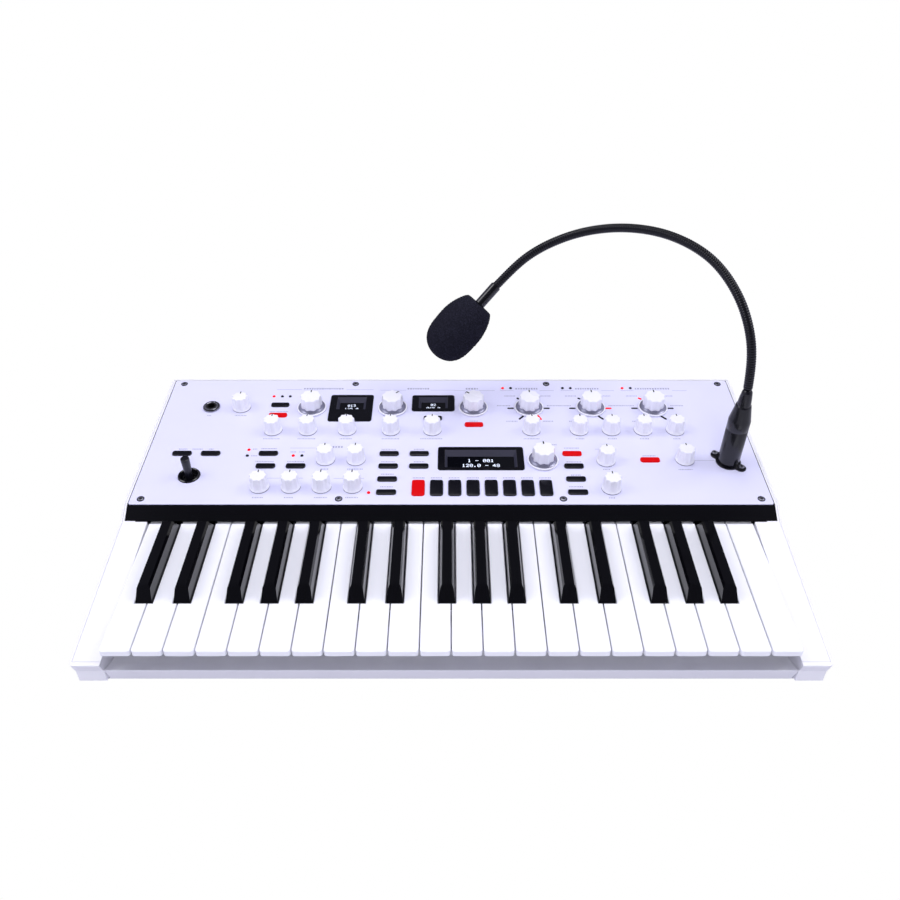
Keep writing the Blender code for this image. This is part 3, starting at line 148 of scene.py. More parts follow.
lamp("overhead_box", (0.0, 0.62, 2.1), (0, 0, 0), 0.8, 9)
lamp("right_box", (1.5, 0.3, 1.7), (0, 0, 0), 0.9, 11)
front_lamp = lamp("front_box", (0.0, -1.45, 1.25), (0, -0.1, 0.04), 0.9, 10)
front_lamp.visible_glossy = False
lamp("left_box", (-1.5, 0.0, 1.7), (0, 0, 0), 0.9, 10)

floor_mesh = bpy.data.meshes.new("floor")
FLOOR_REACH = 6.0
corners = [(sx * FLOOR_REACH, sy * FLOOR_REACH, 0) for sx, sy in ((-1, -1), (1, -1), (1, 1), (-1, 1))]
floor_mesh.from_pydata(corners, [], [(0, 1, 2, 3)])
floor = bpy.data.objects.new("floor", floor_mesh)
bpy.context.scene.collection.objects.link(floor)
floor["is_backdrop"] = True
paper = bpy.data.materials.new("white_paper_floor")
paper.use_nodes = True
sheet = paper.node_tree
sheet.nodes["Principled BSDF"].inputs["Base Color"].default_value = (0.55, 0.55, 0.62, 1)
sheet.nodes["Principled BSDF"].inputs["Roughness"].default_value = 0.9
view = add_node(sheet, "ShaderNodeLightPath")
glow = add_node(sheet, "ShaderNodeEmission", inputs={"Color": (1, 1, 1, 1), "Strength": 1.0})
both = add_node(sheet, "ShaderNodeMixShader", links={
    0: view.outputs["Is Camera Ray"], 1: sheet.nodes["Principled BSDF"].outputs[0], 2: glow.outputs[0]})
sheet.links.new(both.outputs[0], sheet.nodes["Material Output"].inputs["Surface"])
floor_mesh.materials.append(paper)


# Moulded and painted surfaces. Each is a plain body colour with a slow, faint drift in tone, and a fine
# grain from the mould or the spray that breaks the gloss.
def surface_finish(name, colour, shade, rough, rough_drift, grain_mm, grain_depth, metallic=0.0, coat=0.0):
    """A material: noise 40 mm wide drifts between two tones and two roughnesses; fine noise is the grain."""
    material = bpy.data.materials.new(name)
    material.use_nodes = True
    tree = material.node_tree
    shader = tree.nodes["Principled BSDF"]
    shader.inputs["Metallic"].default_value = metallic
    shader.inputs["Coat Weight"].default_value = coat
    shader.inputs["Coat Roughness"].default_value = 0.08
    place = add_node(tree, "ShaderNodeTexCoord")
    drift = add_node(tree, "ShaderNodeTexNoise", inputs={"Scale": 25.0, "Detail": 3.0}, links={
        "Vector": place.outputs["Object"]})
    tone = add_node(tree, "ShaderNodeMix", {"data_type": "RGBA"}, {6: linear(colour), 7: linear(shade)}, {
        0: drift.outputs["Fac"]})
    tree.links.new(tone.outputs[2], shader.inputs["Base Color"])
    gloss = add_node(tree, "ShaderNodeMapRange", inputs={
        "To Min": rough - rough_drift, "To Max": rough + rough_drift}, links={"Value": drift.outputs["Fac"]})
    tree.links.new(gloss.outputs[0], shader.inputs["Roughness"])
    grain = add_node(tree, "ShaderNodeTexNoise", inputs={"Scale": 1000 / grain_mm, "Detail": 2.0}, links={
        "Vector": place.outputs["Object"]})
    bump = add_node(tree, "ShaderNodeBump", inputs={"Strength": grain_depth, "Distance": 0.0001}, links={
        "Height": grain.outputs["Fac"]})
    tree.links.new(bump.outputs[0], shader.inputs["Normal"])
    return material


def glowing(material, colour, strength):
    """A lit lens: the same surface, giving off its own light."""
    shader = material.node_tree.nodes["Principled BSDF"]
    shader.inputs["Emission Color"].default_value = linear(colour)
    shader.inputs["Emission Strength"].default_value = strength
    shader.inputs["Specular IOR Level"].default_value = 0.12
    return material


def dress(names, material):
    """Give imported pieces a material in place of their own."""
    for name in names:
        mesh = frame["nodes"][name].data
        mesh.materials.clear()
        mesh.materials.append(material)


# The case: an ABS tray below and a white ABS frame above, moulded with a fine spark grain that leaves a
# satin gloss. The frame's cheeks rise beside the keys.
case_abs = surface_finish("white_moulded_abs", "F4F4F8", "EEEEF5", 0.36, 0.04, 0.6, 0.25)
dress(["bottom_case", "top_case"], case_abs)
chassis_abs = surface_finish("shaded_moulded_abs", "F0EFFA", "E8E7F6", 0.5, 0.04, 0.8, 0.3)
dress(["keybed_frame"], chassis_abs)

# The keys: white ones in polished acrylic-topped plastic, black ones in gloss black with softened edges.
key_white = surface_finish("white_key_acrylic", "F8F9FE", "F4F5FC", 0.2, 0.03, 0.5, 0.08)
key_black = surface_finish("black_key_acrylic", "07070B", "050508", 0.12, 0.03, 0.5, 0.05)
dress([name for name in frame["nodes"] if name.startswith("white_key")], key_white)
dress([name for name in frame["nodes"] if name.startswith("black_key")], key_black)

# The riser: a strip of polished black acrylic that climbs from the keys to the panel.
riser_gloss = surface_finish("black_polished_acrylic", "050508", "07070A", 0.08, 0.02, 1.0, 0.05)
dress(["key_riser"], riser_gloss)

# The panel: pressed aluminium sprayed in pale pearl, with a fine flake in the paint.
pearl = surface_finish("pearl_sprayed_aluminium", "E0E0FA", "DBDBF8", 0.34, 0.05, 0.4, 0.2)
dress(["top_panel"], pearl)

# The board and what it carries: matt black plastic below the panel.
black_abs = surface_finish("black_moulded_abs", "111116", "16161C", 0.38, 0.05, 0.5, 0.2)
dress(["control_board", "octave_down_button", "octave_up_button", "xlr_socket"], black_abs)


# The panel's plane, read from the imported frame: the knobs' axes are square to it and stand on it.
knob_joints = {joint["child"]: joint for joint in frame["joints"] if joint["name"].endswith("knob_turn")}
normal = np.array(knob_joints["oscillator_knob"]["axis"])
normal = normal / np.linalg.norm(normal)
across = np.array((1.0, 0.0, 0.0))
upslope = np.cross(normal, across)
panel_low, panel_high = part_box("top_panel")
knob_spot = np.array(knob_joints["oscillator_knob"]["pos_m"])
front_z = knob_spot[2] - normal[1] * (panel_low.y - knob_spot[1]) / normal[2]
panel_origin = np.array((0.0, panel_low.y, front_z))
PANEL_HALF = panel_high.x
PANEL_LENGTH = 0.17835


def on_panel(points, x=0.0, v=0.0):
    """Points given as (across, up the slope, height) round a spot on the panel, as world points."""
    points = np.asarray(points, float)
    local = points + np.array((x, v, 0.0))
    return panel_origin + local[..., :1] * across + local[..., 1:2] * upslope + local[..., 2:3] * normal


def spot(share):
    """A place on the panel from its shares of half the width and of the length."""
    return share[0] * PANEL_HALF, share[1] * PANEL_LENGTH


def tube_faces(rows, columns):
    """Quads of a grid whose columns go round: each cell joins a row to the next."""
    r, c = np.meshgrid(np.arange(rows - 1), np.arange(columns), indexing="ij")
    d = (c + 1) % columns
    quads = np.stack((r * columns + c, r * columns + d, (r + 1) * columns + d, (r + 1) * columns + c), -1)
    return quads.reshape(-1, 4).tolist()


def solid(name, grids, material, body, smooth=35):
    """One piece from closed grids of (rows, columns, 3); each grid's first and last rows are filled in."""
    points = []
    faces = []
    start = 0
    for grid in grids:
        rows, columns, _ = grid.shape
        caps = [list(range(columns))[::-1], list(range((rows - 1) * columns, rows * columns))]
        faces += [[start + i for i in face] for face in tube_faces(rows, columns) + caps]
        points.append(grid.reshape(-1, 3))
        start += rows * columns
    mesh = bpy.data.meshes.new(name)
    mesh.from_pydata(np.vstack(points).tolist(), [], faces)
    edit = bmesh.new()
    edit.from_mesh(mesh)
    bmesh.ops.remove_doubles(edit, verts=edit.verts, dist=1e-7)
    bmesh.ops.recalc_face_normals(edit, faces=edit.faces)
    edit.to_mesh(mesh)
    edit.free()
    mesh.materials.append(material)
    mesh.shade_smooth()
    mesh.set_sharp_from_angle(angle=math.radians(smooth))
    piece = bpy.data.objects.new(name, mesh)
    bpy.context.scene.collection.objects.link(piece)
    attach(piece, body)
    return piece


# The panel's sides: a dark strip down in the gap between the panel and the white rim is painted shade, the
# gap's shadow made darker.
GAP_SHADE_ROWS = (-0.0014, -0.0002)
GAP_SHADE_INNER = 0.00004
GAP_SHADE_OUTER = 0.00062
gap_shade_paint = surface_finish("dark_panel_seal", "1A1A28", "222232", 0.6, 0.04, 0.6, 0.1)
gap_shade_strips = []
for side in (-1, 1):
    inner = side * (PANEL_HALF + GAP_SHADE_INNER)
    outer = side * (PANEL_HALF + GAP_SHADE_OUTER)
    ring = [[(inner, 0, h), (outer, 0, h), (outer, PANEL_LENGTH, h), (inner, PANEL_LENGTH, h)]
            for h in GAP_SHADE_ROWS]
    gap_shade_strips.append(on_panel(np.array(ring)))
solid("panel_side_seals", gap_shade_strips, gap_shade_paint, "case")

# The knobs: white ABS caps with nine soft flutes, a skirt that flares onto the panel and a black pointer
# line inlaid from the top down the front. The large ones stand in a dished chrome ring with a thin flange.
FLUTES = 9


def fluted(rows, sides=72):
    """Rings of (height, radius, flute depth): the radius falls by the depth once per flute, as a cosine."""
    rows = np.array(rows)[:, None, :]
    angle = np.linspace(0, 2 * math.pi, sides, endpoint=False)[None, :]
    radius = rows[..., 1] - rows[..., 2] * (0.5 - 0.5 * np.cos(FLUTES * angle))
    height = np.broadcast_to(rows[..., 0], radius.shape)
    return np.stack((radius * np.sin(angle), radius * np.cos(angle), height), -1)


def pointer_line(path, width, thick, turn):
    """A strip along a path of (radius, height), turned clockwise by an angle in degrees."""
    path = np.array(path)
    way = np.gradient(path, axis=0)
    way = way / np.linalg.norm(way, axis=1)[:, None]
    out = np.stack((-way[:, 1], way[:, 0]), -1)
    ring = []
    for side, lift in ((-1, 0), (1, 0), (1, 1), (-1, 1)):
        line = path + out * thick * lift
        ring.append(np.stack((np.full(len(path), side * width / 2), line[:, 0], line[:, 1]), -1))
    grid = np.stack(ring, 1)
    a = math.radians(turn)
    x = grid[..., 0] * math.cos(a) + grid[..., 1] * math.sin(a)
    y = grid[..., 1] * math.cos(a) - grid[..., 0] * math.sin(a)
    return np.stack((x, y, grid[..., 2]), -1)


knob_abs = surface_finish("white_knob_abs", "F4F4FD", "EDEDF9", 0.28, 0.03, 0.4, 0.1)
pointer_ink = surface_finish("black_inlay", "101016", "16161C", 0.4, 0.03, 0.4, 0.1)
dish_chrome = surface_finish("dark_chrome_plate", "A2A2B6", "82829A", 0.28, 0.04, 1.0, 0.03, metallic=0.6)

SMALL_KNOB = [
    (0.00045, 0.00860, 0), (0.00080, 0.00872, 0), (0.00135, 0.00868, 0), (0.00180, 0.00835, 0.0003),
    (0.00230, 0.00800, 0.0008), (0.00320, 0.00785, 0.0011), (0.01290, 0.00762, 0.0011),
    (0.01355, 0.00750, 0.0011), (0.01385, 0.00725, 0.0010), (0.01400, 0.00690, 0.0008),
    (0.01402, 0.00640, 0.0004), (0.01412, 0.00500, 0.0), (0.01418, 0.00200, 0.0)]
SMALL_POINTER = [(0.0040, 0.01414), (0.0062, 0.01403), (0.0071, 0.01388), (0.00758, 0.0132), (0.0077, 0.0105)]
KNOB_SHADOW_RING = [(0.0, 0.0082, 0), (0.0, 0.0087, 0), (0.0005, 0.0087, 0), (0.0005, 0.0082, 0)]
KNOB_ROW = 0.5607
SMALL_KNOBS = [(-0.7338, 0.7558)]
SMALL_KNOBS += [(x, KNOB_ROW) for x in (-0.6050, -0.4867, -0.3532, -0.2043, -0.0633)]
SMALL_KNOBS += [(x, KNOB_ROW) for x in (0.2737, 0.4360, 0.5450, 0.6529, 0.7626)]
SMALL_KNOBS += [(-0.4101, 0.3252), (-0.3108, 0.3252)]
SMALL_KNOBS += [(x, 0.1222) for x in (-0.6050, -0.5065, -0.4090, -0.3108)]
SMALL_KNOBS += [(0.5061, 0.3168), (0.5058, 0.1116), (0.7644, 0.3241)]
small = [on_panel(fluted(SMALL_KNOB), *spot(at)) for at in SMALL_KNOBS]
solid("small_knob_caps", small, knob_abs, "case")
# Painted shadow: a thin grey ring under each small knob's skirt stands for the shadow where the skirt meets
# the panel.
knob_shadow_paint = surface_finish("grey_felt_washer", "56566A", "4A4A5C", 0.8, 0.03, 0.5, 0.1)
knob_shadow_rings = [on_panel(fluted(KNOB_SHADOW_RING, 40), *spot(at)) for at in SMALL_KNOBS]
solid("small_knob_washers", knob_shadow_rings, knob_shadow_paint, "case")
lines = [on_panel(pointer_line(SMALL_POINTER, 0.0010, 0.00012, 0), *spot(at)) for at in SMALL_KNOBS]
solid("small_knob_pointers", lines, pointer_ink, "case")

LARGE_FLANGE = [
    (0.00062, 0.01405, 0), (0.00075, 0.01422, 0), (0.00130, 0.01425, 0), (0.00165, 0.01405, 0),
    (0.00185, 0.01350, 0), (0.00175, 0.01300, 0)]
LARGE_DISH = [
    (0.00100, 0.01305, 0), (0.00172, 0.01305, 0), (0.00190, 0.01250, 0), (0.00235, 0.01160, 0),
    (0.00300, 0.01080, 0), (0.00390, 0.01015, 0), (0.00400, 0.00900, 0)]
LARGE_CAP = [
    (0.00300, 0.01000, 0.0011), (0.00400, 0.01030, 0.0012), (0.01340, 0.01015, 0.0012),
    (0.01430, 0.01000, 0.0012), (0.01475, 0.00970, 0.0011), (0.01490, 0.00930, 0.0008),
    (0.01492, 0.00870, 0.0004), (0.01500, 0.00700, 0.0), (0.01506, 0.00300, 0.0)]
LARGE_POINTER = [(0.0058, 0.01503), (0.0088, 0.01494), (0.0096, 0.01476), (0.01008, 0.0141), (0.0103, 0.0115)]
POINTER_TURNS = {"filter_knob": 40, "amp_knob": -45}
for name, joint in knob_joints.items():
    centre = np.array(joint["pos_m"])
    x = centre[0]
    v = float(np.dot(centre - panel_origin, upslope))
    cap = solid(name + "_cap", [on_panel(fluted(LARGE_CAP), x, v)], knob_abs, name)
    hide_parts(name)
    solid(name + "_flange", [on_panel(fluted(LARGE_FLANGE), x, v)], knob_abs, name)
    solid(name + "_dish", [on_panel(fluted(LARGE_DISH), x, v)], dish_chrome, name)
    line = on_panel(pointer_line(LARGE_POINTER, 0.0012, 0.00012, POINTER_TURNS.get(name, 0)), x, v)
    solid(name + "_pointer", [line], pointer_ink, name)


# The buttons: moulded caps with rounded edges. Most are black, and those whose function is on are red
# and lit from below.
def pad(width, height, radius, rows, steps=6):
    """Rounded rectangle rings of (height above the panel, inset): four quarter arcs joined by straights."""
    rings = []
    for level, inset in rows:
        r = max(radius - inset, 0.0001)
        dx = width / 2 - inset - r
        dy = height / 2 - inset - r
        arcs = []
        for turn, (sx, sy) in enumerate(((1, 1), (-1, 1), (-1, -1), (1, -1))):
            angle = np.radians(np.linspace(90 * turn, 90 * turn + 90, steps))
            arcs.append(np.stack((sx * dx + r * np.cos(angle), sy * dy + r * np.sin(angle)), -1))
        outline = np.vstack(arcs)
        rings.append(np.column_stack((outline, np.full(len(outline), level))))
    return np.array(rings)


BUTTON_ROWS = [(-0.0012, 0.0), (0.0006, 0.0), (0.00105, 0.00012), (0.00130, 0.00045), (0.00138, 0.0009)]
BUTTON_W = 0.01755
BUTTON_H = 0.00625
TALL_W = 0.01135
TALL_H = 0.01985
BUTTON_R = 0.0019
LEVELS = (0.3695, 0.2736, 0.1772, 0.0824)
BUTTONS = [(-0.6007, 0.7760), (-0.6022, 0.3712), (-0.6022, 0.2747), (-0.5043, 0.2747), (-0.0626, 0.6594)]
BUTTONS += [(-0.2040, v) for v in LEVELS]
BUTTONS += [(0.3989, v) for v in LEVELS[1:]]
BUTTONS += [(-0.1045, v) for v in LEVELS[:2]]
LIT_BUTTONS = [(-0.6007, 0.6857), (0.0788, 0.6055), (0.6511, 0.3207), (0.3989, LEVELS[0])]
TALL_FIRST = (-0.1036, 0.1127)
TALL_PITCH = 0.05773
TALL_COUNT = 8


def cap_at(x, v, width, height):
    """A button's cap of the given width and height on the panel."""
    return on_panel(pad(width, height, BUTTON_R, BUTTON_ROWS), x, v)


tall = [(spot(TALL_FIRST)[0] + TALL_PITCH * PANEL_HALF * i, spot(TALL_FIRST)[1]) for i in range(TALL_COUNT)]
dark_caps = [cap_at(*spot(at), BUTTON_W, BUTTON_H) for at in BUTTONS]
dark_caps += [cap_at(x, v, TALL_W, TALL_H) for x, v in tall[1:]]
lit_caps = [cap_at(*spot(at), BUTTON_W, BUTTON_H) for at in LIT_BUTTONS]
lit_caps += [cap_at(*tall[0], TALL_W, TALL_H)]
button_black = surface_finish("black_button_abs", "0B0B12", "0E0E16", 0.22, 0.04, 0.4, 0.06)
red_abs = surface_finish("lit_red_button", "B80006", "A00006", 0.3, 0.03, 0.4, 0.06)
button_red = glowing(red_abs, "E00006", 0.4)
solid("button_caps", dark_caps, button_black, "case")
solid("lit_button_caps", lit_caps, button_red, "case")
for name in ("octave_down_button", "octave_up_button"):
    low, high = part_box(name)
    middle = np.array((low + high) / 2)
    v = float(np.dot(middle - panel_origin, upslope))
    piece = solid(name + "_cap", [cap_at(middle[0], v, BUTTON_W, BUTTON_H)], button_black, name)
    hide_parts(name)

# The lamps: small round diodes beside the buttons and thin bars beside the effect knobs, red where lit.
ROUND_LAMP = [(-0.0002, 0.0015, 0), (0.0003, 0.0015, 0), (0.0007, 0.0013, 0), (0.0009, 0.0007, 0)]
LIT_ROUND = [(-175.2, 152.3), (-186.1, 71.5), (-144.2, 63.3), (-71.9, 14.3), (51.8, 165.9), (171.6, 165.9)]
DARK_ROUND = [(-167, 152.3), (-159.1, 152.3), (-186.2, 63.3), (-136.3, 63.3), (59.8, 165.9), (111.8, 165.9)]
DARK_ROUND += [(119.7, 165.9), (179.8, 165.9)]
MM = 0.001
lamp_red = glowing(surface_finish("lit_red_diode", "D8101C", "C80C18", 0.2, 0.02, 0.5, 0.05), "E8101C", 0.6)
lamp_dark = surface_finish("dark_diode", "101018", "0C0C14", 0.25, 0.02, 0.5, 0.05)
rounds = {"lit_lamps": (LIT_ROUND, lamp_red), "dark_lamps": (DARK_ROUND, lamp_dark)}
for name, (places, material) in rounds.items():
    domes = [on_panel(fluted(ROUND_LAMP, 20), x * MM, v * MM) for x, v in places]
    solid(name, domes, material, "case")

BAR_ROWS = [(-0.0002, 0.0), (0.0002, 0.0), (0.0003, 0.0002)]
BAR_THICK = 0.0020


def bar(start, end):
    """A thin lens lying from one place on the panel to another, both in millimetres."""
    (x0, v0), (x1, v1) = start, end
    length = math.hypot(x1 - x0, v1 - v0) * MM
    turn = math.atan2(v1 - v0, x1 - x0)
    grid = pad(length, BAR_THICK, BAR_THICK / 2.01, BAR_ROWS)
    x = grid[..., 0] * math.cos(turn) - grid[..., 1] * math.sin(turn)
    y = grid[..., 0] * math.sin(turn) + grid[..., 1] * math.cos(turn)
    return on_panel(np.stack((x, y, grid[..., 2]), -1), (x0 + x1) / 2 * MM, (v0 + v1) / 2 * MM)


EFFECT_LAMPS = (76.0, 136.2, 196.7)
lit_bars = [
    bar((83.3, 122.9), (86.9, 115.6)), bar((150.3, 133.4), (156.6, 133.4)),
    bar((184.8, 150.2), (188.1, 147.8))]
dark_bars = []
for index, x in enumerate(EFFECT_LAMPS):
    dark_bars.append(bar((x - 21, 133.4), (x - 14.6, 133.4)))
    if index != 1:
        dark_bars.append(bar((x + 14.2, 133.4), (x + 20.4, 133.4)))
    if index == 0:
        dark_bars.append(bar((x - 11, 150.1), (x - 8.6, 147.9)))
        dark_bars.append(bar((x - 10.7, 116.2), (x - 6, 121.4)))
    if index == 1:
        dark_bars.append(bar((x - 11, 150.1), (x - 8.4, 147.8)))
    if index > 0:
        dark_bars.append(bar((x + 5.6, 121.6), (x + 10.4, 116.0)))
solid("lit_bars", lit_bars, lamp_red, "case")
solid("dark_bars", dark_bars, lamp_dark, "case")


# The displays: gloss black bezels with a sunk window, lit from inside. They show plain digits in a
# five by seven dot matrix.
bezel_gloss = surface_finish("black_gloss_bezel", "0A0A0F", "0D0D13", 0.14, 0.02, 0.8, 0.04, coat=0.3)
window_glass = surface_finish("black_display_glass", "05060A", "07080D", 0.08, 0.01, 1.0, 0.02, coat=0.5)
recess_abs = surface_finish("grey_recess_wall", "2A2A3E", "242436", 0.6, 0.03, 0.5, 0.05)
dot_face = surface_finish("white_display_dot", "E4ECFF", "DCE6FF", 0.4, 0.02, 1.0, 0.02)
dot_light = glowing(dot_face, "E8F0FF", 0.9)
BEZEL_R = 0.002
BEZEL_TOP = 0.0008
WINDOW_FLOOR = -0.0026
GLYPHS = {
    "0": "01110100011001110101110011000101110", "1": "00100011000010000100001000010001110",
    "2": "01110100010000100010001000100011111", "3": "11111000100010000010000011000101110",
    "4": "00010001100101010010111110001000010", "5": "11111100001111000001000011000101110",
    "6": "00110010001000011110100011000101110", "7": "11111000010001000100010000100001000",
    "8": "01110100011000101110100011000101110", "9": "01110100011000101111000010001001100",
    "-": "00000000000000011111000000000000000", ".": "00000000000000000000000000110001100",
    " ": "0" * 35}
DOT_FILL = 0.88


def frame_ring(width, height, window_w, window_h, lift):
    """A bezel: outer edge up, over the flat face, and down the window's sloping wall to its floor."""
    def ring(w, h, r, level, dy):
        """One rounded outline, moved up the slope by dy."""
        grid = pad(w, h, r, [(level, 0.0)])
        return grid[0] + np.array((0, dy, 0))
    rows = [
        ring(width, height, BEZEL_R, -0.0012, 0), ring(width, height, BEZEL_R, BEZEL_TOP - 0.0003, 0),
        ring(width - 0.0006, height - 0.0006, BEZEL_R, BEZEL_TOP, 0),
        ring(window_w, window_h, 0.0006, BEZEL_TOP, lift),
        ring(window_w - 0.0006, window_h - 0.0006, 0.0005, BEZEL_TOP - 0.0003, lift)]
    return np.array(rows)


def open_strip(name, grid, material):
    """A bezel, ring or wall as a band with no end faces."""
    rows, columns, _ = grid.shape
    mesh = bpy.data.meshes.new(name)
    mesh.from_pydata(grid.reshape(-1, 3).tolist(), [], tube_faces(rows, columns))
    mesh.materials.append(material)
    mesh.shade_smooth()
    mesh.set_sharp_from_angle(angle=math.radians(25))
    piece = bpy.data.objects.new(name, mesh)
    bpy.context.scene.collection.objects.link(piece)
    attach(piece, "case")
    return piece


def dots(text, x, v, level, dot):
    """Lit dots of a line of characters centred on a place: a small flat box for each lit cell."""
    cells = []
    left = x - (len(text) * 6 - 1) * dot / 2
    for index, letter in enumerate(text):
        for cell, lit in enumerate(GLYPHS[letter]):
            if lit == "1":
                row, column = divmod(cell, 5)
                cells.append((left + (index * 6 + column + 0.5) * dot, v + (3 - row) * dot))
    half = dot * DOT_FILL / 2
    box = pad(2 * half, 2 * half, half / 4, [(level, 0.0), (level + 0.0001, 0.0)], 2)
    return [on_panel(box, cx, cv) for cx, cv in cells]


DISPLAYS = {
    "oscillator": ((-0.3504, 0.7497), (0.0419, 0.0413), (0.0287, 0.0199), 0.0073),
    "filter": ((-0.0622, 0.7920), (0.0415, 0.0252), (0.0286, 0.0184), 0.0006),
    "main": ((0.0978, 0.3328), (0.0781, 0.0316), (0.0658, 0.0244), -0.0003)}
PANES = {
    "oscillator": ((0.0230, 0.0128), -0.0024), "filter": ((0.0232, 0.0116), -0.0021),
    "main": ((0.0607, 0.0168), -0.0027)}
WORDS = {
    "oscillator": [("013", 0.0022), ("125.0", -0.0030)], "filter": [("02", 0.0022), ("048.0", -0.0028)],
    "main": [("1 - 001", 0.0030), ("120.0 - 48", -0.0036)]}
DOT_SIZES = {"oscillator": 0.00046, "filter": 0.00046, "main": 0.00058}
for name, (at, size, window, lift) in DISPLAYS.items():
    x, v = spot(at)
    bezel = on_panel(frame_ring(*size, *window, lift), x, v)
    open_strip(name + "_bezel", bezel, bezel_gloss)
    rim = [pad(window[0] - 0.0006, window[1] - 0.0006, 0.0005, [(BEZEL_TOP - 0.0003, 0.0)])[0]]
    pane_size, drop = PANES[name]
    rim.append(pad(*pane_size, 0.0005, [(WINDOW_FLOOR, 0.0)])[0] + np.array((0, drop, 0)))
    wall = np.array(rim) + np.array((0, lift, 0))
    open_strip(name + "_recess", on_panel(wall, x, v), recess_abs)
    floor_rows = [(WINDOW_FLOOR - 0.0002, 0.0), (WINDOW_FLOOR + 0.0001, 0.0)]
    pane = pad(pane_size[0] + 0.0003, pane_size[1] + 0.0003, 0.0005, floor_rows)
    pane = pane + np.array((0, lift + drop, 0))
    solid(name + "_glass", [on_panel(pane, x, v)], window_glass, "case")
    lit = []
    for text, rise in WORDS[name]:
        lit += dots(text, x, v + lift + drop + rise, WINDOW_FLOOR + 0.0001, DOT_SIZES[name])
    solid(name + "_digits", lit, dot_light, "case")
dress(["main_display"], bezel_gloss)

# The print: thin grey rules over each group of controls, and short broken strokes where a control has
# its legend. The strokes spell nothing.
print_grey = surface_finish("grey_screen_print", "A6A6BE", "9E9EB8", 0.6, 0.02, 0.6, 0.02)
RULES = [
    (-173.9, 163.8, -148.9), (-104.4, 163.6, -77.3), (-70.7, 162.8, -44.7), (-20.8, 162.8, 4.1),
    (3.6, 162.2, 14.7), (28.1, 162.2, 43.7), (49.3, 162.2, 62.5), (88.5, 162.2, 102.9),
    (109.6, 162.2, 122.5), (150.0, 162.2, 163.1), (169.8, 162.2, 182.5), (221.0, 162.2, 235.6),
    (-148.5, 74.1, -124.5), (-165.0, 33.1, -131.3), (-104.3, 32.8, -77.3),
    (132.9, 72.4, 136.6), (221.3, 56.9, 239.5)]
LEGENDS = [
    (-233.0, 122.2, 4.2), (-203.1, 122.2, 10.9), (-166.9, 128.3, 17.9), (-246.7, 72.6, 8.0),
    (-233.3, 72.6, 10.0), (-220.5, 72.6, 4.4), (-167.6, 73.2, 14.4), (-168.8, 55.4, 17.3),
    (-140.6, 55.4, 16.1), (-180.1, 72.6, 5.0), (-180.1, 63.2, 5.2), (-144.4, 68.6, 6.0),
    (-136.8, 68.6, 5.6), (-113.3, 45.1, 7.8), (-86.1, 45.1, 14.4), (95.6, 78.8, 5.4),
    (22.0, 113.7, 8.6), (111.5, 74.0, 14.0), (111.3, 54.8, 14.2), (111.4, 37.1, 8.4),
    (110.2, 22.0, 12.5), (140.1, 44.5, 6.8), (140.1, 7.9, 6.2), (181.3, 63.1, 12.2), (211.2, 44.5, 13.6)]
LEGENDS += [(x, 87.4, w) for x, w in (
    (-167.6, 16.2), (-134.8, 17.2), (-98.1, 12.2), (-56.6, 16.2), (-17.9, 21.3), (75.9, 15.6),
    (121.1, 8.8), (151.2, 8.8), (181.2, 8.8), (211.2, 6.3))]
LEGENDS += [(x, 8.3, w) for x, w in ((-167.7, 9.8), (-140.6, 8.6), (-113.1, 11.3), (-86.2, 10.9))]
LEGENDS += [(x, v, w) for x, v, w in (
    (-57.0, 72.3, 14.0), (-56.6, 55.0, 13.0), (-56.5, 38.3, 11.6), (-56.5, 21.9, 11.4),
    (-28.9, 72.3, 10.0), (-28.8, 55.0, 9.8))]
LEGENDS += [(-28.8 + 16.05 * i, 33.4, 10.4) for i in range(TALL_COUNT)]
LEGENDS += [(x + 17.5 * side, v, 11.0) for x in EFFECT_LAMPS for side in (-1, 1) for v in (153.2, 113.4)]
LEGENDS += [(x + 24.5 * side, 137.6, 13.0) for x in EFFECT_LAMPS for side in (-1, 1)]
LEGENDS = [(x, v, w, 1.5) for x, v, w in LEGENDS]
LEGENDS += [(x, 165.2, w, 2.6) for x, w in (
    (-126.6, 41.0), (-32.7, 21.5), (21.4, 13.0), (75.7, 22.3), (136.4, 24.0), (201.8, 35.0))]
LEGENDS += [(-105.0, 75.6, 14.0, 2.6), (-118.0, 36.0, 7.0, 2.6)]
RULE_H = 0.0004
LETTER_GAP = 0.35
INK_ROWS = [(0.00002, 0.0), (0.00005, 0.0)]
letter_rng = np.random.default_rng(11)


def stroke(x, v, width, height):
    """A thin flat block of ink on the panel."""
    return on_panel(pad(width, height, 0.00005, INK_ROWS, 2), x, v)


ink = [stroke((x0 + x1) / 2 * MM, v * MM, (x1 - x0) * MM, RULE_H) for x0, v, x1 in RULES]
for x, v, width, tall_mm in LEGENDS:
    at = (x - width / 2) * MM
    while at < (x + width / 2) * MM - tall_mm * MM / 2:
        letter_w = tall_mm * MM * letter_rng.uniform(0.45, 0.75)
        ink.append(stroke(at + letter_w / 2, v * MM, letter_w, tall_mm * MM * letter_rng.uniform(0.75, 1.0)))
        at += letter_w + LETTER_GAP * tall_mm * MM
solid("printed_marks", ink, print_grey, "case")

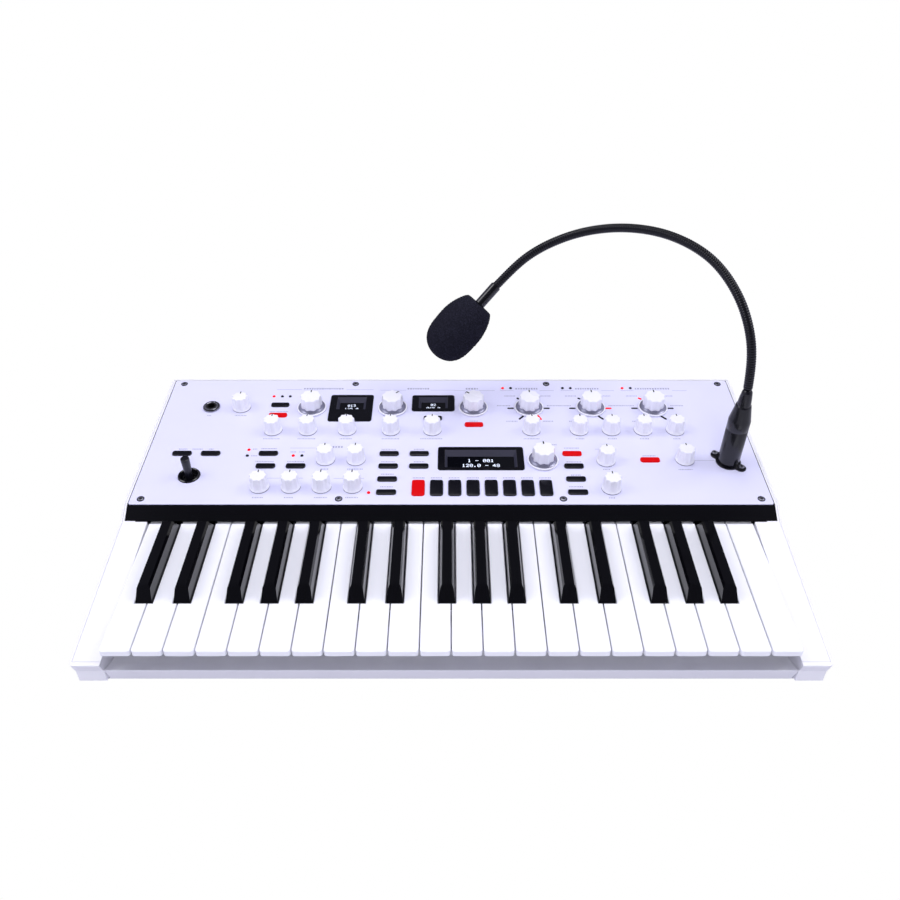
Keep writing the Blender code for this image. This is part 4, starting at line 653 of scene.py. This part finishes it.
# The panel's screws: small nickel-plated countersunk heads with a hexagon socket, at the corners and along
# the front and back edges.
# The shade in each socket and countersink is painted as dark shapes.
SCREW = [
    (-0.0004, 0.0027, 0), (0.0002, 0.0027, 0), (0.0007, 0.0023, 0), (0.0009, 0.0016, 0),
    (0.0009, 0.0012, 0), (0.0002, 0.0011, 0)]
SCREW_PLACES = ((268.7, 6.6), (97.3, 6.6), (268.7, 173.0), (96.0, 173.0))
SCREWS = [(side * x, v) for side in (-1, 1) for x, v in SCREW_PLACES]
screw_steel = surface_finish("nickel_screw", "9C9CA8", "7C7C88", 0.28, 0.04, 0.6, 0.04, metallic=0.8)
screw_shade_paint = surface_finish("screw_socket_shade", "14141A", "1A1A20", 0.5, 0.03, 0.6, 0.04)
heads = [on_panel(fluted(SCREW, 24), x * MM, v * MM) for x, v in SCREWS]
solid("panel_screws", heads, screw_steel, "case")
# Painted shade: a dark ring round each head where it sinks into the panel, and a dark hexagon on the head
# where its socket's shade falls.
COUNTERSINK_SHADE = [(-0.0004, 0.0033, 0), (0.0003, 0.0033, 0), (0.0004, 0.0031, 0)]
SOCKET_SHADE = [(0.0001, 0.0013, 0), (0.00094, 0.0013, 0)]
screw_shades = [on_panel(fluted(COUNTERSINK_SHADE, 24), x * MM, v * MM) for x, v in SCREWS]
screw_shades += [on_panel(fluted(SOCKET_SHADE, 6), x * MM, v * MM) for x, v in SCREWS]
solid("panel_screw_seats", screw_shades, screw_shade_paint, "case")


# The headphone socket: a nickel nut and a sleeve round a dark bore. The joystick: a gloss collar round
# a grey lever that thickens to a flat tip.
def turned(profile, sides=48):
    """Rings of (radius, height) spun round the panel's normal."""
    return fluted([(height, radius, 0) for radius, height in profile], sides)


JACK_SHARE = (-0.8396, 0.7553)
nut_nickel = surface_finish("nickel_plate", "A8A8B4", "8A8A96", 0.22, 0.04, 0.8, 0.03, metallic=0.9)
bore_black = surface_finish("black_bore", "060608", "0A0A0C", 0.5, 0.03, 0.8, 0.05)
dress(["phones_jack"], bore_black)
NUT = [
    (0.0045, 0.00005), (0.00805, 0.00005), (0.00810, 0.0012), (0.0078, 0.0018), (0.0066, 0.0024),
    (0.0056, 0.00245), (0.0050, 0.0022), (0.0045, 0.0010)]
nut = on_panel(turned(NUT), *spot(JACK_SHARE))
open_strip("headphone_nut", nut, nut_nickel)

STICK_SHARE = (-0.8399, 0.2047)
COLLAR = [
    (0.0099, -0.0006), (0.0099, 0.0004), (0.0096, 0.0010), (0.0089, 0.0013), (0.0082, 0.0010),
    (0.0073, -0.0010), (0.0066, -0.0030)]
open_strip("joystick_collar_ring", on_panel(turned(COLLAR), *spot(STICK_SHARE)), bezel_gloss)
LEVER = [
    (0.0024, -0.0080), (0.0034, -0.0030), (0.0035, 0.0040), (0.0036, 0.0100), (0.0038, 0.0150),
    (0.0039, 0.0196), (0.0037, 0.0203), (0.0031, 0.0205), (0.0030, 0.0201), (0.0012, 0.0201)]
lever_rubber = surface_finish("dark_grey_lever", "16161E", "101018", 0.28, 0.04, 0.5, 0.1)
stick = on_panel(turned(LEVER), *spot(STICK_SHARE))
lever = solid("joystick_stick", [stick], lever_rubber, "joystick_lever")
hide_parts("joystick_lever")
dress(["joystick_yoke"], nut_nickel)

# The microphone socket: a black flange with two ears and screws, and the plug that stands in it: a
# turned barrel, a tapered collar and a rubber boot.
PLUG_SHARE = (0.9040, 0.3078)
plug_x, plug_v = spot(PLUG_SHARE)
EAR = pad(0.0350, 0.0094, 0.0046, [(0.0001, 0.0), (0.0011, 0.0), (0.0014, 0.0004)])
EAR_TURN_DEG = -44.6
ear_turn = math.radians(EAR_TURN_DEG)
ear_x = EAR[..., 0] * math.cos(ear_turn) - EAR[..., 1] * math.sin(ear_turn)
ear_y = EAR[..., 0] * math.sin(ear_turn) + EAR[..., 1] * math.cos(ear_turn)
ears = on_panel(np.stack((ear_x, ear_y, EAR[..., 2]), -1), plug_x, plug_v)
FLANGE = [(0.0100, 0.0001), (0.0112, 0.0001), (0.0113, 0.0010), (0.0109, 0.0015), (0.0099, 0.0016)]
solid("socket_ears", [ears], button_black, "case")
open_strip("socket_flange", on_panel(turned(FLANGE), plug_x, plug_v), button_black)
EAR_SCREWS = [(241.6, 66.6), (261.4, 47.1)]
EAR_LIFT = np.array((0, 0, 0.0012))
ear_heads = [on_panel(fluted(SCREW, 24) + EAR_LIFT, x * MM, v * MM) for x, v in EAR_SCREWS]
solid("socket_screws", ear_heads, screw_steel, "case")

PLUG = [
    (0.0070, 0.00135), (0.0094, 0.00140), (0.0096, 0.0020), (0.0096, 0.0386), (0.00935, 0.0392),
    (0.00935, 0.0404), (0.0096, 0.0410), (0.0096, 0.0496), (0.0093, 0.0508), (0.0082, 0.0570),
    (0.0068, 0.0645), (0.0064, 0.0659), (0.0059, 0.0662), (0.0057, 0.0690), (0.0052, 0.0740),
    (0.00465, 0.0778), (0.0044, 0.0795), (0.0036, 0.0810), (0.0020, 0.0822), (0.0008, 0.0825)]
plug_metal = surface_finish("black_anodised_barrel", "0B0B10", "0F0F16", 0.2, 0.04, 0.5, 0.06)
plug = solid("microphone_barrel", [on_panel(turned(PLUG, 64), plug_x, plug_v)], plug_metal,
             "microphone_plug", 50)
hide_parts("mic_connector")

# The gooseneck: a steel coil in a black coat, whose turns stand out as fine ribs. It leans back over the
# panel and comes down to the microphone's stem on the left.
NECK_R = 0.004
RIB_PITCH = 0.0021
RIB_DEPTH = 0.0003
NECK_ROUTE = np.array((
    (0.0, 0.0, 0.0), (-0.0033, 0.0085, 0.0437), (-0.0136, 0.0315, 0.0741),
    (-0.0324, 0.0645, 0.0930), (-0.0625, 0.0955, 0.1002), (-0.1002, 0.1145, 0.0988),
    (-0.1401, 0.1240, 0.0885), (-0.1781, 0.1255, 0.0687), (-0.2097, 0.1210, 0.0385)))
STEM_AIM = np.array((-0.666, -0.306, -0.681))
STEM_LENGTH = 0.0245
STEM_R = 0.005
bend_joint = [joint for joint in frame["joints"] if joint["name"] == "gooseneck_bend"][0]
bend = np.array(bend_joint["pos_m"])


def smooth_route(points, start_aim, end_aim, samples):
    """Cubic stretches through the points, each slope set by the points on either side."""
    first = np.linalg.norm(points[1] - points[0])
    last = np.linalg.norm(points[-1] - points[-2])
    padded = np.vstack((points[0] - first * start_aim, points, points[-1] + last * end_aim))
    knots = np.concatenate(([0], np.cumsum(np.linalg.norm(np.diff(padded, axis=0), axis=1))))
    slopes = (padded[2:] - padded[:-2]) / (knots[2:] - knots[:-2])[:, None]
    rows = []
    for i in range(len(points) - 1):
        length = knots[i + 2] - knots[i + 1]
        t = np.linspace(0, 1, samples, endpoint=i == len(points) - 2)[:, None]
        rows.append(
            (2 * t**3 - 3 * t**2 + 1) * points[i] + (t**3 - 2 * t**2 + t) * length * slopes[i]
            + (3 * t**2 - 2 * t**3) * points[i + 1] + (t**3 - t**2) * length * slopes[i + 1])
    return np.vstack(rows)


def swept(line, radius, sides):
    """Rings of the given radii square to a line, each ring's first direction carried on from the last."""
    way = np.gradient(line, axis=0)
    way = way / np.linalg.norm(way, axis=1)[:, None]
    side = np.cross(way[0], (0.0, 1.0, 0.0))
    sides_out = []
    for step in way:
        side = side - step * np.dot(side, step)
        side = side / np.linalg.norm(side)
        sides_out.append(side)
    a = np.array(sides_out)[:, None, :]
    b = np.cross(way, np.array(sides_out))[:, None, :]
    angle = np.linspace(0, 2 * math.pi, sides, endpoint=False)[None, :, None]
    return line[:, None, :] + radius[:, None, None] * (np.cos(angle) * a + np.sin(angle) * b)


coarse = bend + smooth_route(NECK_ROUTE, normal, STEM_AIM, 24)
travelled = np.concatenate(([0], np.cumsum(np.linalg.norm(np.diff(coarse, axis=0), axis=1))))
NECK_START = 0.0048
along = np.arange(NECK_START, travelled[-1], RIB_PITCH / 6)
neck_line = np.stack([np.interp(along, travelled, coarse[:, k]) for k in range(3)], -1)
smooth_kernel = np.ones(9) / 9
for _ in range(2):
    inner = np.stack([np.convolve(neck_line[:, k], smooth_kernel, "valid") for k in range(3)], -1)
    neck_line = np.vstack((neck_line[:4], inner, neck_line[-4:]))
ribs = NECK_R - RIB_DEPTH * (0.5 - 0.5 * np.cos(2 * math.pi * along / RIB_PITCH))
neck_coat = surface_finish("black_coated_steel", "141419", "18181E", 0.26, 0.04, 0.6, 0.05, metallic=0.4)
neck = solid("gooseneck_ribs", [swept(neck_line, ribs, 24)], neck_coat, "microphone_neck", 60)
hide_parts("gooseneck")
aim = STEM_AIM / np.linalg.norm(STEM_AIM)
STEM = np.array((
    (-0.0010, 0.0041), (-0.0004, 0.0049), (0.0006, STEM_R), (0.0225, STEM_R), (STEM_LENGTH, 0.0048),
    (0.0300, 0.0046)))
stem_line = coarse[-1] + STEM[:, :1] * aim
stem_gloss = surface_finish("black_gloss_stem", "08080C", "0C0C11", 0.16, 0.03, 0.8, 0.04, coat=0.3)
solid("microphone_stem", [swept(stem_line, STEM[:, 1], 32)], stem_gloss, "microphone_neck")

# The windscreen: a moulded ball of open-cell foam, blunt at the tip and drawn in where it grips the
# stem. Its cut cells make a coarse, matt surface.
FOAM_R = 0.0225
FOAM_LENGTH = 0.0631
FOAM_WAIST = 0.028
FOAM_SHOULDER_R = 0.0132
FOAM_HOLE_R = 0.0051
CELL = 0.00022
foam_rows = []
for t in np.sin(np.linspace(0.03, math.pi / 2, 90))[::-1]:
    foam_rows.append((FOAM_WAIST + t * (FOAM_LENGTH - FOAM_WAIST), FOAM_R * math.sqrt(max(0.0, 1 - t**3.4))))
for t in np.linspace(0.99, 0, 60):
    grow = math.sin(t * math.pi / 2) ** 0.7
    foam_rows.append((t * FOAM_WAIST, FOAM_SHOULDER_R + (FOAM_R - FOAM_SHOULDER_R) * grow))
foam_rows += [(-0.0002, FOAM_SHOULDER_R - 0.0012), (0.0002, FOAM_HOLE_R)]
foam_rows = np.array(foam_rows)
foam_rows[0, 1] = 0.0006
FOAM_GRIP = 0.002
shoulder = coarse[-1] + aim * (STEM_LENGTH - FOAM_GRIP)
foam_line = shoulder + foam_rows[:, :1] * aim
side = np.cross(aim, (0.0, 1.0, 0.0))
side = side / np.linalg.norm(side)
other = np.cross(aim, side)
turns = np.linspace(0, 2 * math.pi, 180, endpoint=False)
rng = np.random.default_rng(7)
rough = rng.normal(0.0, CELL, (len(foam_rows), len(turns)))
radius = foam_rows[:, 1:] + rough * np.clip(foam_rows[:, 1:] / FOAM_R, 0, 1)
foam_grid = foam_line[:, None, :] + radius[..., None] * (
    np.cos(turns)[None, :, None] * side + np.sin(turns)[None, :, None] * other)


def foam_finish():
    """Open-cell foam: near-black cells between slightly lighter walls, about 0.9 mm apart, fully matt."""
    material = surface_finish("charcoal_foam", "1B1B24", "101016", 0.92, 0.03, 0.9, 1.0)
    tree = material.node_tree
    shader = tree.nodes["Principled BSDF"]
    place = add_node(tree, "ShaderNodeTexCoord")
    cells = add_node(tree, "ShaderNodeTexVoronoi", inputs={"Scale": 1100.0}, links={
        "Vector": place.outputs["Object"]})
    tone = add_node(tree, "ShaderNodeValToRGB", links={"Fac": cells.outputs["Distance"]})
    tone.color_ramp.elements[0].color = linear("08080C")
    tone.color_ramp.elements[1].color = linear("2A2A38")
    tree.links.new(tone.outputs["Color"], shader.inputs["Base Color"])
    shader.inputs["Specular IOR Level"].default_value = 0.1
    return material


foam = solid("foam_windscreen", [foam_grid], foam_finish(), "microphone_neck", 180)
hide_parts("windscreen")

# The rear sockets: black bushes with a thin flange in the mouths of the case's back wall, six round ones
# and the square data socket.
case_low, case_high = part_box("bottom_case")
REAR_Z = 0.034
REAR_SOCKETS = [
    (0.150, 0.0035, 0.014), (0.125, 0.0035, 0.014), (0.098, 0.0035, 0.014), (0.062, 0.0076, 0.008),
    (0.038, 0.0076, 0.008), (-0.024, 0.0040, 0.010)]
DATA_SOCKET = (0.008, 0.0120, 0.0110, 0.010)
BUSH_LIP = 0.0008
BUSH_WALL = 0.0006
BUSH_FLANGE = 0.0003


def bush_levels(depth):
    """Levels behind the wall and steps in from the mouth's edge: flange, lip, bore and floor."""
    flange = [(0.00002, -BUSH_LIP), (BUSH_FLANGE, -BUSH_LIP)]
    return flange + [(BUSH_FLANGE, BUSH_WALL), (0.0004 - depth, BUSH_WALL)]


bushes = []
for x, r, depth in REAR_SOCKETS:
    rows = [(level, r - inset, 0) for level, inset in bush_levels(depth)] + [(0.0004 - depth, 0.0002, 0)]
    bore = fluted(rows, 40)
    bushes.append(np.stack((x + bore[..., 0], case_high.y + bore[..., 2], REAR_Z + bore[..., 1]), -1))
x, width, tall, depth = DATA_SOCKET
bore = pad(width, tall, 0.0006, bush_levels(depth) + [(0.0004 - depth, tall / 2 - 0.0003)])
bushes.append(np.stack((x + bore[..., 0], case_high.y + bore[..., 2], REAR_Z + bore[..., 1]), -1))
for index, grid in enumerate(bushes):
    open_strip(f"rear_socket_bush_{index + 1}", grid, button_black)

# The feet: round pads of black rubber under the corners.
foot_rubber = surface_finish("black_foot_rubber", "1A1A1E", "222226", 0.7, 0.05, 0.8, 0.3)
FOOT_X = 0.2475
FOOT_Y = 0.131
FOOT_PROFILE = [(0.0, 0.0098, 0), (0.0003, 0.0102, 0), (0.0050, 0.0103, 0), (0.0061, 0.0103, 0)]
feet = []
for sx in (-1, 1):
    for sy in (-1, 1):
        feet.append(fluted(FOOT_PROFILE, 40) + np.array((sx * FOOT_X, sy * FOOT_Y, 0.0)))
solid("rubber_feet", feet, foot_rubber, "case")

low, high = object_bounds()
